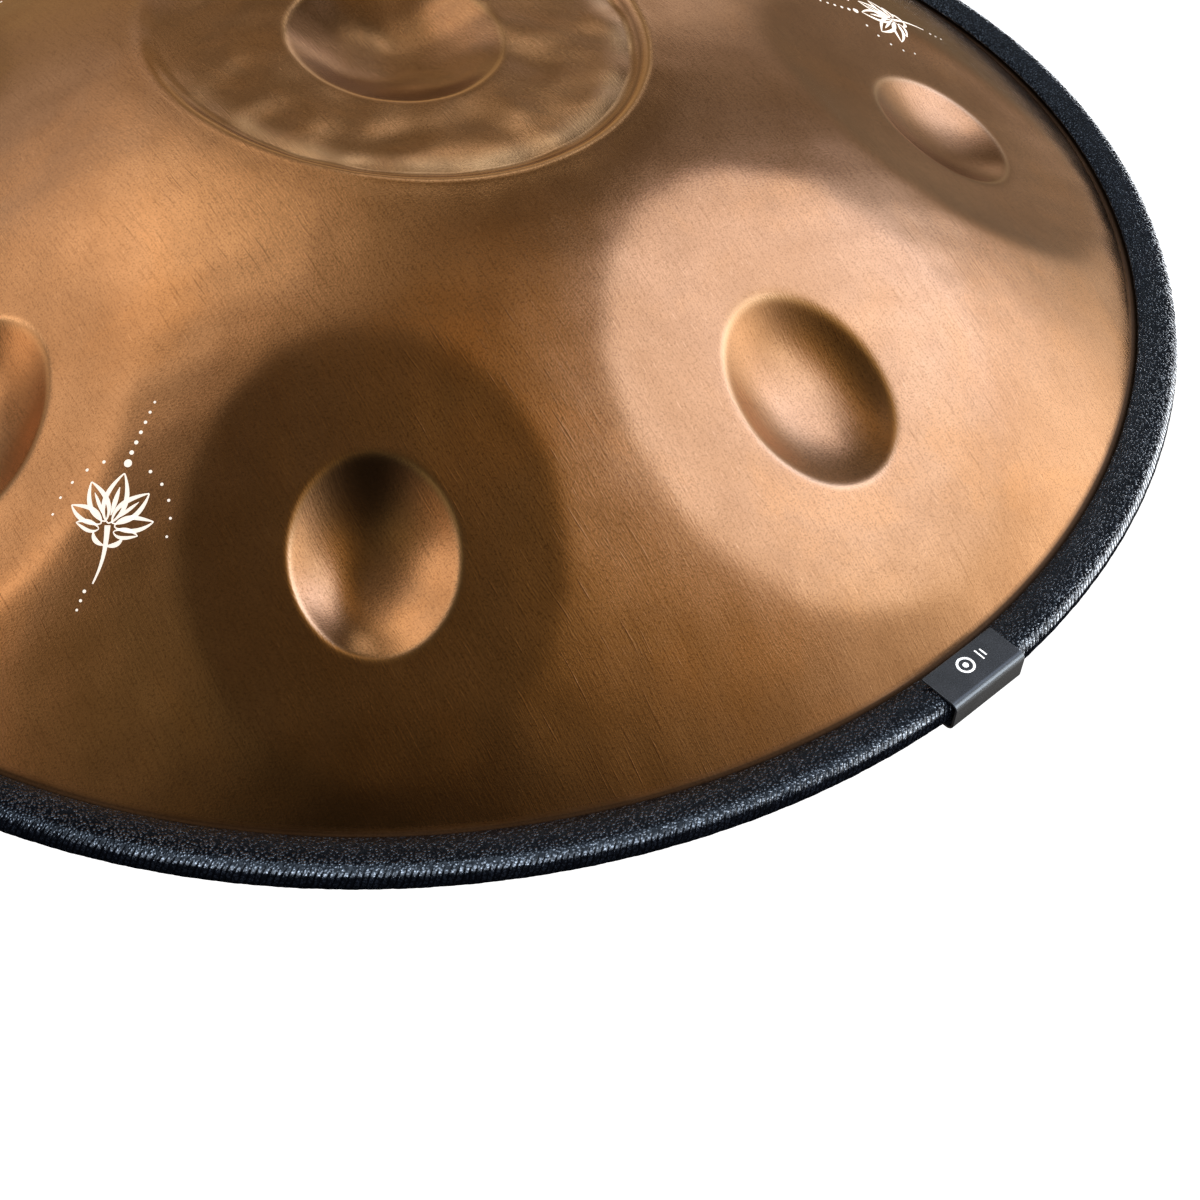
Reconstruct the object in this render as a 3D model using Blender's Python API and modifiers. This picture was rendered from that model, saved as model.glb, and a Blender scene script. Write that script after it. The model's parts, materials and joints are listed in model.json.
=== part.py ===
"""Handpan: two steel shells joined at a flange, with an edge trim and a trim clip.

Metres, +Z up. The origin is on the pan's axis at the flat ring that it rests on.
Directions round the axis are given as azimuths: 0 points along -Y, towards the
player, and 90 points along +X.
"""

import math

import bmesh
import bpy
import numpy as np
from mathutils import Matrix

MM = 0.001
SEGMENTS = 80                   # facets round the axis, shared by every turned part
WELD_DISTANCE = 0.01 * MM

# ------------------------------------------------------------------- shells
SHEET = 1.2 * MM                # steel sheet of both shells
BOTTOM_DEPTH = 104.0 * MM       # resting ring to the seam plane
SEAM_Z = BOTTOM_DEPTH           # plane between the two flanges

DOME_R = 431.9 * MM             # sphere radius of the top shell
DOME_DROP = 333.0 * MM          # centre of that sphere below the seam plane
DOME_FOOT_R = 275.0 * MM        # where both shells' spheres meet the seam plane
FOOT_FILLET = 6.0 * MM          # hollow corner between dome and flange
FLANGE_R = 284.3 * MM           # outer edge of both flanges
FLANGE_TOP = 1.6 * MM           # outer face of a flange, from the seam plane

# Rings of points on the top shell: first radius and spacing in mm, and count.
DOME_RINGS = ((0.0, 10.0, 3), (27.0, 7.0, 12), (113.5, 11.5, 14))
DOME_FILLET_STEPS = 3

REST_RING_R = 84.0 * MM         # outer edge of the flat ring round the sound port
BOWL_RING_SPACING = 35.0 * MM
BOWL_RING_COUNT = 6
BOWL_FILLET_STEPS = 2
PORT_R = 52.0 * MM              # bore of the neck
PORT_FILLET = 6.0 * MM
PORT_FILLET_STEPS = 3
PORT_NECK = 24.0 * MM           # height of the turned-in neck

GLUE_HALF = 0.15 * MM
GLUE_INNER_R = 278.0 * MM
GLUE_OUTER_R = FLANGE_R - 0.5 * MM

# ---------------------------------------------------------- hammered surface
# Departure of the whole dome from its sphere, inwards.
DOME_FLATTENING = 2.0 * MM      # scale of a broad sinking between axis and foot
DOME_RIPPLE = 0.3 * MM          # height of a concentric wave
RIPPLE_HALF_WAVES = 3.0         # from the axis to the foot
FADE_MARGIN = 1.0 * MM          # the sinking ends this far outside the dome's edge
FADE_WIDTH = 7.0 * MM

FIELD_SOFTNESS = 0.08           # rounding of a tone field's rim
DIMPLE_SOFTNESS = 0.12
DIMPLE_POWER = 1.25             # above 1 gives a tone dimple a flatter bottom
DIMPLE_LEAN = -0.3              # the tone dimples are deeper towards the axis

# The eight tone fields: azimuth and distance of the middle from the axis, along
# the dome; then half width round the axis, half length, turn and depth, first of
# the field and then of its dimple. Millimetres and degrees.
TONE_FIELDS = (
    (-5.5, 203.0, (56.5, 70.5, -5.0, 4.0), (25.4, 31.4, -7.0, 8.6)),
    (39.5, 193.0, (66.5, 79.0, 14.0, 5.4), (27.6, 35.0, 9.0, 7.6)),
    (88.5, 201.5, (58.0, 75.5, 23.0, 6.0), (26.3, 30.0, 14.0, 7.3)),
    (131.0, 203.0, (50.0, 65.0, 8.0, 5.0), (24.0, 28.4, 6.0, 7.6)),
    (174.5, 205.0, (46.0, 59.0, 0.0, 4.8), (22.2, 26.6, 0.0, 7.6)),
    (-140.5, 204.0, (48.0, 62.0, -7.0, 5.0), (23.2, 27.8, -5.0, 7.6)),
    (-95.5, 201.0, (52.0, 67.0, -12.0, 5.0), (24.8, 29.8, -9.0, 7.6)),
    (-47.0, 198.7, (56.5, 68.5, -14.0, 4.9), (27.6, 36.5, -15.0, 8.0)),
)

# The centre note: an oval field levelled to a plane that leans a little, with an
# oval dimple in it. Turns are of the long axis, degrees from +X.
CENTRE_FIELD_MIDDLE = (-3.1 * MM, 7.9 * MM)
CENTRE_FIELD_AXES = (96.4 * MM, 80.7 * MM)      # half length and half width
CENTRE_FIELD_TURN = 131.0
CENTRE_PLANE = 88.6 * MM                        # above the seam plane
CENTRE_SLOPE = (-0.012, 0.013)                  # rise of the plane along +X and +Y
CENTRE_BLEND_END = 1.05                         # oval radius where levelling ends
CENTRE_BLEND_WIDTH = 0.11
CENTRE_DIMPLE_MIDDLE = (-1.7 * MM, 2.0 * MM)
CENTRE_DIMPLE_AXES = (41.5 * MM, 35.6 * MM)
CENTRE_DIMPLE_TURN = 127.0
CENTRE_DIMPLE_DEPTH = 10.4 * MM

# ------------------------------------------------- edge trim and its carrier
TRIM_R = 290.0 * MM             # outside of the trim: 580 mm across
TRIM_BULB = 4.9 * MM            # half height of the rounded outer edge
BULB_START = 100.0              # degrees from +r where the rounding starts
BULB_STEPS = 4                  # per half
TRIM_SLOT = FLANGE_TOP + 0.3 * MM       # half height of the channel over the flanges
TRIM_SLOT_R = FLANGE_R + 0.6 * MM       # bottom of that channel
TRIM_FLARE_R = 279.9 * MM       # the channel widens from here inwards
TRIM_MOUTH_R = 276.6 * MM       # channel side of the lips
TRIM_MOUTH = TRIM_SLOT + 0.5 * MM
TRIM_LIP_R = 276.5 * MM         # outer side of the lips
TRIM_LIP = 2.95 * MM

CORE_SHEET = 0.5 * MM
CORE_MID = 2.8 * MM             # middle of each leg of the carrier, from the seam
CORE_INNER_R = 280.2 * MM
CORE_WEB_R = 286.45 * MM        # middle of the carrier's web
CORE_GAP = 0.28 * MM            # between the carrier and its pocket in the trim

JOINT_AZIMUTH = 34.6            # where the ends of the trim meet, under the clip
JOINT_TURN = math.radians(JOINT_AZIMUTH - 90.0)     # turns local +X to the joint
JOINT_GAP = 1.0 * MM
JOINT_CUTTER_R = 283.0 * MM     # middle of the cutting box
JOINT_CUTTER_DEPTH = 30.0 * MM  # along the radius
JOINT_CUTTER_HEIGHT = 24.0 * MM

# ---------------------------------------------------------------- trim clip
CLIP_LENGTH = 32.0 * MM
CLIP_SHEET = 0.8 * MM
CLIP_HALF = 6.0 * MM            # half height over its outside
CLIP_INNER_R = 276.4 * MM       # inner end of the upper leg
CLIP_LOWER_SETBACK = 1.0 * MM   # the lower leg is this much shorter
CLIP_GAP = 0.4 * MM             # between the trim and the clip's wall
CLIP_WALL_R = TRIM_R + CLIP_GAP + CLIP_SHEET    # outside of the wall
CLIP_BEND = 2.6 * MM            # outside radius of its two bends
CLIP_BEND_STEPS = 4

# ---------------------------------------------------------------- materials
FINISHES = {
    "bronzed_steel": dict(colour=(0.44, 0.22, 0.10), roughness=0.34, metallic=1.0),
    "bronzed_steel_lower": dict(colour=(0.40, 0.20, 0.09), roughness=0.36, metallic=1.0),
    "grained_vinyl": dict(colour=(0.018, 0.019, 0.022), roughness=0.55, metallic=0.0),
    "carrier_steel": dict(colour=(0.45, 0.45, 0.46), roughness=0.4, metallic=1.0),
    "coated_steel": dict(colour=(0.03, 0.03, 0.033), roughness=0.42, metallic=0.3),
    "cured_adhesive": dict(colour=(0.05, 0.05, 0.05), roughness=0.5, metallic=0.0),
}


def material(name):
    """A new material with the finish of that name."""
    finish = FINISHES[name]
    colour = (*finish["colour"], 1.0)
    made = bpy.data.materials.new(name)
    made.use_nodes = True
    inputs = made.node_tree.nodes["Principled BSDF"].inputs
    inputs["Base Color"].default_value = colour
    inputs["Roughness"].default_value = finish["roughness"]
    inputs["Metallic"].default_value = finish["metallic"]
    made.diffuse_color = colour
    return made


# ------------------------------------------------------------ object helpers
def clear_scene():
    for obj in list(bpy.data.objects):
        bpy.data.objects.remove(obj, do_unlink=True)
    for mesh in list(bpy.data.meshes):
        bpy.data.meshes.remove(mesh)


def collection(name, hidden=False):
    made = bpy.data.collections.new(name)
    bpy.context.scene.collection.children.link(made)
    made.hide_render = hidden
    return made


def linked(name, mesh, group):
    """A new object for the mesh, linked to the collection."""
    obj = bpy.data.objects.new(name, mesh)
    group.objects.link(obj)
    return obj


def turned(name, profile, closed, group, finish=None):
    """A profile of (radius, z) points, swept once round +Z by a Screw modifier."""
    count = len(profile)
    edges = [(i, i + 1) for i in range(count - 1)]
    if closed:
        edges.append((count - 1, 0))
    mesh = bpy.data.meshes.new(name)
    mesh.from_pydata([(r, 0.0, z) for r, z in profile], edges, [])
    if finish:
        mesh.materials.append(material(finish))
    obj = linked(name, mesh, group)
    screw = obj.modifiers.new("Turn", "SCREW")
    screw.axis = "Z"
    screw.angle = 2.0 * math.pi
    screw.steps = screw.render_steps = SEGMENTS
    screw.use_merge_vertices = True
    screw.merge_threshold = WELD_DISTANCE
    screw.use_smooth_shade = True
    return obj


def solidify(obj, thickness):
    """Thickens an open surface on its back, away from its normals."""
    shell = obj.modifiers.new("Sheet", "SOLIDIFY")
    shell.thickness = thickness
    shell.offset = -1.0
    shell.use_even_offset = True
    shell.use_rim = True


def baked(obj, group):
    """Replaces obj by one that holds its evaluated mesh, with its seams welded."""
    bpy.context.view_layer.update()
    graph = bpy.context.evaluated_depsgraph_get()
    mesh = bpy.data.meshes.new_from_object(obj.evaluated_get(graph))
    name = obj.name
    bpy.data.objects.remove(obj, do_unlink=True)
    bm = bmesh.new()
    bm.from_mesh(mesh)
    bmesh.ops.remove_doubles(bm, verts=bm.verts, dist=WELD_DISTANCE)
    bm.to_mesh(mesh)
    bm.free()
    mesh.name = name
    return linked(name, mesh, group)


def cut(obj, cutter):
    knife = obj.modifiers.new("Cut " + cutter.name, "BOOLEAN")
    knife.operation = "DIFFERENCE"
    knife.solver = "EXACT"
    knife.object = cutter


def as_cutter(obj):
    obj.hide_render = True
    obj.display_type = "WIRE"
    return obj


# ----------------------------------------------------------------- profiles
def arc(centre, radius, start, end, steps):
    """Points on an arc of the profile plane, angles in degrees from +r."""
    angles = [math.radians(start + (end - start) * i / steps) for i in range(steps + 1)]
    return [
        (centre[0] + radius * math.cos(angle), centre[1] + radius * math.sin(angle))
        for angle in angles
    ]


def foot(sphere_r, drop):
    """The fillet between a spherical dome and its flange, heights from the seam.

    Returns the fillet's centre and the point where it leaves the dome. The centre
    is FOOT_FILLET above the flange face and lies that far outside the sphere.
    """
    z = FLANGE_TOP + FOOT_FILLET
    r = math.sqrt((sphere_r + FOOT_FILLET) ** 2 - (z + drop) ** 2)
    share = sphere_r / (sphere_r + FOOT_FILLET)
    return (r, z), (r * share, (z + drop) * share - drop)


def dome_profile(sphere_r, drop, radii, fillet_steps):
    """Dome, fillet and flange as (radius, height over the seam), from the axis out."""
    centre, edge = foot(sphere_r, drop)
    start = math.degrees(math.atan2(edge[1] - centre[1], edge[0] - centre[0]))
    points = [(r, math.sqrt(sphere_r**2 - r**2) - drop) for r in radii]
    points += arc(centre, FOOT_FILLET, start, -90.0, fillet_steps)
    points.append((FLANGE_R, FLANGE_TOP))
    return points


def mirrored(upper):
    """A closed section that is symmetric about the seam, from its upper half."""
    return [(r, SEAM_Z + z) for r, z in upper] + [
        (r, SEAM_Z - z) for r, z in reversed(upper) if z > 0
    ]


def carrier_section(margin):
    """U section of the carrier strip, grown on every side by margin."""
    half = CORE_SHEET / 2 + margin
    web_outer = CORE_WEB_R + half
    web_inner = CORE_WEB_R - half
    leg_end = CORE_INNER_R - margin
    return [
        (leg_end, SEAM_Z + CORE_MID + half),
        (web_outer, SEAM_Z + CORE_MID + half),
        (web_outer, SEAM_Z - CORE_MID - half),
        (leg_end, SEAM_Z - CORE_MID - half),
        (leg_end, SEAM_Z - CORE_MID + half),
        (web_inner, SEAM_Z - CORE_MID + half),
        (web_inner, SEAM_Z + CORE_MID - half),
        (leg_end, SEAM_Z + CORE_MID - half),
    ]


# ---------------------------------------------------------------- hammering
def direction(azimuth):
    """Unit vector in the seam plane at an azimuth in degrees."""
    angle = math.radians(azimuth)
    return np.array((math.sin(angle), -math.cos(angle), 0.0))


def smoothstep(value):
    """Smooth rise from 0 to 1 as value goes from 0 to 1."""
    share = np.clip(value, 0.0, 1.0)
    return share * share * (3.0 - 2.0 * share)


def oval(u, v, half_u, half_v, turn):
    """Squared oval radius of (u, v): 1 on the outline."""
    cos, sin = math.cos(math.radians(turn)), math.sin(math.radians(turn))
    return ((u * cos + v * sin) / half_u) ** 2 + ((v * cos - u * sin) / half_v) ** 2


def soft_cap(oval_squared, softness, power=1.0):
    """Falls from about 1 mid-oval to 0 outside it, its corner rounded off."""
    inset = (1.0 - np.power(oval_squared, power)) / softness
    # Above 30 the rounding vanishes; the limit keeps exp from overflowing.
    rounded = np.log1p(np.exp(np.minimum(inset, 30.0)))
    return softness * np.where(inset > 30.0, inset, rounded)


def tone_sink(normals, azimuth, distance, field, dimple):
    """Depth of one row of TONE_FIELDS at points with these sphere normals."""
    out = direction(azimuth)
    up = np.array((0.0, 0.0, 1.0))
    side = np.cross(up, out)
    tilt = math.asin(distance * MM / DOME_R)
    down = out * math.cos(tilt) - up * math.sin(tilt)
    u, v = DOME_R * (normals @ side), DOME_R * (normals @ down)

    half_u, half_v, turn, depth = field
    sink = depth * MM * soft_cap(oval(u, v, half_u * MM, half_v * MM, turn), FIELD_SOFTNESS)

    half_u, half_v, turn, depth = dimple
    cup = oval(u, v, half_u * MM, half_v * MM, turn)
    lean = 1.0 + DIMPLE_LEAN * v / (half_v * MM)
    return sink + depth * MM * lean * soft_cap(cup, DIMPLE_SOFTNESS, DIMPLE_POWER)


def sink_dome(points):
    """Moves the dome inwards along its normals: broad shape, then tone fields."""
    normals = (points - np.array((0.0, 0.0, -DOME_DROP))) / DOME_R
    r = np.hypot(points[:, 0], points[:, 1])
    share = r / DOME_FOOT_R
    sink = DOME_FLATTENING * share**2 * (1.0 - share**2)
    sink += DOME_RIPPLE * np.cos(RIPPLE_HALF_WAVES * math.pi * share)
    for tone_field in TONE_FIELDS:
        sink += tone_sink(normals, *tone_field)
    edge_r = foot(DOME_R, DOME_DROP)[1][0]
    sink *= smoothstep((edge_r + FADE_MARGIN - r) / FADE_WIDTH)
    return points - normals * sink[:, None]


def shape_centre_note(points):
    """Levels the centre field in place, then sinks its dimple."""
    x, y, z = points.T
    u, v = x - CENTRE_FIELD_MIDDLE[0], y - CENTRE_FIELD_MIDDLE[1]
    radius = np.sqrt(oval(u, v, *CENTRE_FIELD_AXES, CENTRE_FIELD_TURN))
    return u, v, radius, z


def hammered(points):
    """Hammers the plain dome's points, with z from the seam plane."""
    moved = sink_dome(points)

    # The centre note is laid out on the plain dome's x and y.
    u, v = points[:, 0] - CENTRE_FIELD_MIDDLE[0], points[:, 1] - CENTRE_FIELD_MIDDLE[1]
    radius = np.sqrt(oval(u, v, *CENTRE_FIELD_AXES, CENTRE_FIELD_TURN))
    inside = smoothstep((CENTRE_BLEND_END - radius) / CENTRE_BLEND_WIDTH)
    plane = CENTRE_PLANE + CENTRE_SLOPE[0] * u + CENTRE_SLOPE[1] * v
    moved[:, 2] = moved[:, 2] * (1.0 - inside) + plane * inside

    u, v = points[:, 0] - CENTRE_DIMPLE_MIDDLE[0], points[:, 1] - CENTRE_DIMPLE_MIDDLE[1]
    cup = oval(u, v, *CENTRE_DIMPLE_AXES, CENTRE_DIMPLE_TURN)
    moved[:, 2] -= CENTRE_DIMPLE_DEPTH * soft_cap(cup, DIMPLE_SOFTNESS)
    return moved


# -------------------------------------------------------------------- parts
def make_top_shell(group):
    radii = [
        (first + i * spacing) * MM
        for first, spacing, count in DOME_RINGS
        for i in range(count)
    ]
    profile = dome_profile(DOME_R, DOME_DROP, radii, DOME_FILLET_STEPS)
    shell = baked(turned("top_shell", profile, False, group), group)
    mesh = shell.data
    points = np.empty(len(mesh.vertices) * 3)
    mesh.vertices.foreach_get("co", points)
    points = hammered(points.reshape(-1, 3))
    points[:, 2] += SEAM_Z
    mesh.vertices.foreach_set("co", points.ravel())
    mesh.update()
    mesh.shade_smooth()
    mesh.materials.append(material("bronzed_steel"))
    solidify(shell, SHEET)


def make_bottom_shell(group):
    """Spherical bowl, flat ring and turned-in neck, as its outer face from the rim in."""
    # The bowl's sphere passes through the foot circle and the resting ring's edge.
    # Its centre lies this far above the seam plane.
    rise = (DOME_FOOT_R**2 - REST_RING_R**2 - BOTTOM_DEPTH**2) / (2 * BOTTOM_DEPTH)
    bowl_r = math.hypot(DOME_FOOT_R, rise)
    radii = [REST_RING_R + i * BOWL_RING_SPACING for i in range(BOWL_RING_COUNT)]
    bowl = dome_profile(bowl_r, rise, radii, BOWL_FILLET_STEPS)
    profile = [(r, SEAM_Z - z) for r, z in reversed(bowl)]
    corner = (PORT_R + PORT_FILLET, PORT_FILLET)
    profile += arc(corner, PORT_FILLET, 270.0, 180.0, PORT_FILLET_STEPS)
    profile.append((PORT_R, PORT_NECK))
    shell = turned("bottom_shell", profile, False, group, "bronzed_steel_lower")
    solidify(shell, SHEET)


def make_seam_adhesive(group):
    profile = [
        (GLUE_INNER_R, SEAM_Z + GLUE_HALF),
        (GLUE_OUTER_R, SEAM_Z + GLUE_HALF),
        (GLUE_OUTER_R, SEAM_Z - GLUE_HALF),
        (GLUE_INNER_R, SEAM_Z - GLUE_HALF),
    ]
    turned("seam_adhesive", profile, True, group, "cured_adhesive")


def make_joint_cutter(cutters):
    """The narrow radial slot where the ends of the trim meet."""
    size = (JOINT_CUTTER_DEPTH, JOINT_GAP, JOINT_CUTTER_HEIGHT, 1.0)
    mesh = bpy.data.meshes.new("trim_joint_cutter")
    bm = bmesh.new()
    bmesh.ops.create_cube(bm, size=1.0, matrix=Matrix.Diagonal(size))
    bm.to_mesh(mesh)
    bm.free()
    box = linked("trim_joint_cutter", mesh, cutters)
    x, y, _ = direction(JOINT_AZIMUTH) * JOINT_CUTTER_R
    box.location = (x, y, SEAM_Z)
    box.rotation_euler = (0.0, 0.0, JOINT_TURN)
    return as_cutter(box)


def make_edge_trim(group, cutters, joint):
    upper = [
        (TRIM_SLOT_R, TRIM_SLOT),
        (TRIM_FLARE_R, TRIM_SLOT),
        (TRIM_MOUTH_R, TRIM_MOUTH),
        (TRIM_LIP_R, TRIM_LIP),
    ]
    upper += arc((TRIM_R - TRIM_BULB, 0.0), TRIM_BULB, BULB_START, 0.0, BULB_STEPS)
    trim = turned("edge_trim", mirrored(upper), True, group, "grained_vinyl")
    pocket = turned("carrier_pocket", carrier_section(CORE_GAP), True, cutters)
    cut(trim, as_cutter(baked(pocket, cutters)))
    cut(trim, joint)


def make_trim_core(group, joint):
    core = turned("trim_core", carrier_section(0.0), True, group, "carrier_steel")
    cut(core, joint)


def make_trim_clip(group):
    """A straight bent sheet, as its outer face, thickened inwards."""
    bend_r, bend_z = CLIP_WALL_R - CLIP_BEND, CLIP_HALF - CLIP_BEND
    section = [(CLIP_INNER_R, CLIP_HALF)]
    section += arc((bend_r, bend_z), CLIP_BEND, 90.0, 0.0, CLIP_BEND_STEPS)
    section += arc((bend_r, -bend_z), CLIP_BEND, 0.0, -90.0, CLIP_BEND_STEPS)
    section.append((CLIP_INNER_R + CLIP_LOWER_SETBACK, -CLIP_HALF))
    count = len(section)
    verts = [(r, side * CLIP_LENGTH, z) for side in (-0.5, 0.5) for r, z in section]
    faces = [(i, i + 1, count + i + 1, count + i) for i in range(count - 1)]
    mesh = bpy.data.meshes.new("trim_clip")
    mesh.from_pydata(verts, [], faces)
    mesh.materials.append(material("coated_steel"))
    mesh.shade_smooth()
    clip = linked("trim_clip", mesh, group)
    clip.location = (0.0, 0.0, SEAM_Z)
    clip.rotation_euler = (0.0, 0.0, JOINT_TURN)
    solidify(clip, CLIP_SHEET)


def main():
    clear_scene()
    handpan = collection("handpan")
    cutters = collection("cutters", hidden=True)
    make_top_shell(handpan)
    make_bottom_shell(handpan)
    make_seam_adhesive(handpan)
    joint = make_joint_cutter(cutters)
    make_edge_trim(handpan, cutters, joint)
    make_trim_core(handpan, joint)
    make_trim_clip(handpan)


main()
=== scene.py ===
"""A handpan: two bronzed shells joined at a trimmed rim, with printed flowers.

Lengths are in millimetres until a mesh is made, heights (z) are measured from the seam
plane between the two shells, and azimuth 0 points to the player (-Y), 90 to +X.
"""

import json
import math
from collections import namedtuple

import bmesh
import bpy
import numpy as np
from mathutils import Matrix, Vector
from mathutils.geometry import delaunay_2d_cdt

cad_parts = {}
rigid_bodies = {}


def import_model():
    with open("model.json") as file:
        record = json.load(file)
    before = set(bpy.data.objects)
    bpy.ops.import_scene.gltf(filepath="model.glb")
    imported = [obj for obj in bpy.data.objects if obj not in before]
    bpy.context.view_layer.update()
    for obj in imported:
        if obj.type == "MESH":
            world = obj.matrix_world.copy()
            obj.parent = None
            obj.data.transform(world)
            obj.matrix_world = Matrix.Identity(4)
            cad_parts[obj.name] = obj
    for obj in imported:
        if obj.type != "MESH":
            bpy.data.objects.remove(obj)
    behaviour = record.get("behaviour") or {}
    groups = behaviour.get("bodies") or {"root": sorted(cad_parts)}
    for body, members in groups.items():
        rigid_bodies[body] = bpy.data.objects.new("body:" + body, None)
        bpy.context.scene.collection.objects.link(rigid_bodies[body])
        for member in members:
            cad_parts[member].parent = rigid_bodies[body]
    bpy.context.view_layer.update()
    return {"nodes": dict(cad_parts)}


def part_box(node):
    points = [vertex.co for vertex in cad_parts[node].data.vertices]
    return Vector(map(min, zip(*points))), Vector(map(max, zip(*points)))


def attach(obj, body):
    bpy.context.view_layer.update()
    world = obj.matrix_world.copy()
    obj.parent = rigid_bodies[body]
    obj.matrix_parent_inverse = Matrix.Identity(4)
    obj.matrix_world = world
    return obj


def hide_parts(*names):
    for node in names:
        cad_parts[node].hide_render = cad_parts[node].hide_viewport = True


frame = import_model()
MM = 0.001

# ------------------------------------------------ places, read from the frame
trim_low, trim_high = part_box("edge_trim")
SEAM_Z = (trim_low.z + trim_high.z) / 2 * 1000
TRIM_R = trim_high.x * 1000
FLANGE_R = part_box("top_shell")[1].x * 1000
BOTTOM_DEPTH = SEAM_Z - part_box("bottom_shell")[0].z * 1000

# --------------------------------------------------------- sizes of the shells
SHEET = 1.2
DOME_R, DOME_DROP, DOME_FOOT_R = 431.9, 333.0, 275.0
FOOT_FILLET, FLANGE_TOP = 2.2, 1.6
REST_RING_R, PORT_R, PORT_FILLET, PORT_NECK = 84.0, 52.0, 6.0, 24.0

# -------------------------------------- sizes of the trim, its core and its clip
TRIM_BULB, TRIM_INNER_R, TRIM_LIP = 4.9, 275.0, 2.95
TRIM_SLOT, TRIM_SLOT_R = 1.9, 284.9
CORE_SHEET, CORE_MID, CORE_INNER_R, CORE_WEB_R, CORE_GAP = 0.5, 2.8, 280.2, 286.45, 0.28
TRIM_JOINT_AZ, TRIM_JOINT_GAP = 34.6, 1.0
CLIP_LENGTH, CLIP_SHEET, CLIP_HALF = 32.0, 0.8, 6.0
CLIP_INNER_R, CLIP_WALL_R, CLIP_BEND = 276.4, 291.2, 2.6
CLIP_LOWER_R = CLIP_INNER_R + 1.0

# ---------------------------------- the ding: the central field and its dimple
DING_CENTRE, DING_AXES, DING_TURN = (-3.1, 7.9), (96.4, 80.7), 131.0
DING_PLANE, DING_TILT = 88.6, (-0.012, 0.013)
DING_BORDER, DING_BORDER_HALF = 0.993, 0.053
DING_REACH = 135.0                          # the ding shapes the shell inside this radius
DING_DENTS, DING_HAMMER = 0.20, 0.10        # heights of its random unevenness
DING_FACING = (0.42, -0.91)                 # plan direction of its sharper border
DING_ROLL_START, DING_ROLL_CREST = 0.82, 0.972
DING_DIMPLE_CENTRE, DING_DIMPLE_AXES, DING_DIMPLE_TURN = (-1.7, 2.0), (41.5, 35.6), 127.0
DING_DIMPLE_DEPTH, DING_DIMPLE_LEAN, DING_LEAN_SPAN = 10.4, (-0.08, -0.11), (40.0, 40.0)
DING_DIMPLE_EDGE = (0.048, 0.96)            # softness, power

# ------------------------------------------------- the ring of tone fields
# azimuth and distance of the dimple; offset of the field from it; field oval (half
# width, half length, turn); bed (depth, softness, power); bed_lean; dimple oval;
# its two depths; its edge (softness, power); its lean.
ToneField = namedtuple(
    "ToneField", "azimuth distance offset oval bed bed_lean dimple depths edge lean")
TONE_FIELDS = [ToneField(*row) for row in (
    (-5.5, 202.8, (-0.1, 0.1), (56.7, 70.9, -5), (3.97, 0.052, 0.97), (0.09, -0.09),
     (25.4, 31.5, -7), (7.0, 1.8), (0.062, 1.35), (-0.30, -0.36)),
    (39.5, 192.4, (1.8, 0.1), (67.3, 79.8, 15), (6.19, 0.038, 0.65), (-0.10, -0.20),
     (27.5, 35.0, 9), (8.0, -0.5), (0.112, 1.27), (0.10, -0.32)),
    (88.7, 202.0, (-0.9, 0.0), (57.8, 75.7, 23), (6.27, 0.137, 1.64), (-0.11, -0.23),
     (26.5, 30.3, 14), (7.3, 0.1), (0.090, 1.02), (-0.20, -0.28)),
    (131.0, 203.0, (0.0, 0.0), (50.0, 65.0, 8), (5.00, 0.060, 1.00), (0.00, 0.00),
     (24.0, 28.4, 6), (7.2, 0.5), (0.080, 1.25), (0.00, -0.30)),
    (174.5, 205.0, (0.0, 0.0), (46.0, 59.0, 0), (4.80, 0.060, 1.00), (0.00, 0.00),
     (22.2, 26.6, 0), (7.2, 0.5), (0.080, 1.25), (0.00, -0.30)),
    (-140.5, 204.0, (0.0, 0.0), (48.0, 62.0, -7), (5.00, 0.060, 1.00), (0.00, 0.00),
     (23.2, 27.8, -5), (7.2, 0.5), (0.080, 1.25), (0.00, -0.30)),
    (-95.5, 201.0, (0.0, 0.0), (52.0, 67.0, -12), (5.00, 0.060, 1.00), (0.00, 0.00),
     (24.8, 29.8, -9), (7.2, 0.5), (0.080, 1.25), (0.00, -0.30)),
    (-47.0, 198.7, (-1.6, 2.8), (56.4, 68.0, -14), (4.92, 0.093, 1.03), (0.19, 0.20),
     (27.4, 36.8, -15), (7.3, 0.8), (0.060, 1.40), (-0.30, -0.40)),
)]
FIELD_REACH = 0.93      # a field acts where the dome's normal is this close to its own

# Random unevenness: depths of the swell and the hammering on each shell, and how far
# along x the bottom shell samples the same waves.
SWELL_DEPTH, TOP_HAMMER_DEPTH, BOTTOM_HAMMER_DEPTH = 0.10, 0.035, 0.03
BOTTOM_SAMPLE_SHIFT = 900.0
DOME_SAG, DOME_RIPPLE = 2.0, 0.3
GRAIN = math.radians(-62.0)     # the direction the sheet was brushed in, in plan
UP = np.array((0.0, 0.0, 1.0))


def direction(azimuth):
    angle = math.radians(azimuth)
    return np.array((math.sin(angle), -math.cos(angle), 0.0))


# --------------------------------------------------------------- soft shapes
def wave_field(seed, shortest, longest, count=48):
    """A smooth random height of unit spread: plane waves with lengths in a band."""
    random = np.random.RandomState(seed)
    turns = random.uniform(0, 2 * math.pi, count)
    lengths = np.exp(random.uniform(math.log(shortest), math.log(longest), count))
    phases = random.uniform(0, 2 * math.pi, count)
    rates = 2 * math.pi / lengths
    waves = list(zip(rates * np.cos(turns), rates * np.sin(turns), phases))

    def height(x, y):
        total = np.zeros(np.shape(x))
        for rate_x, rate_y, phase in waves:
            total += np.cos(rate_x * x + rate_y * y + phase)
        return total * math.sqrt(2.0 / count)

    return height


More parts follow.
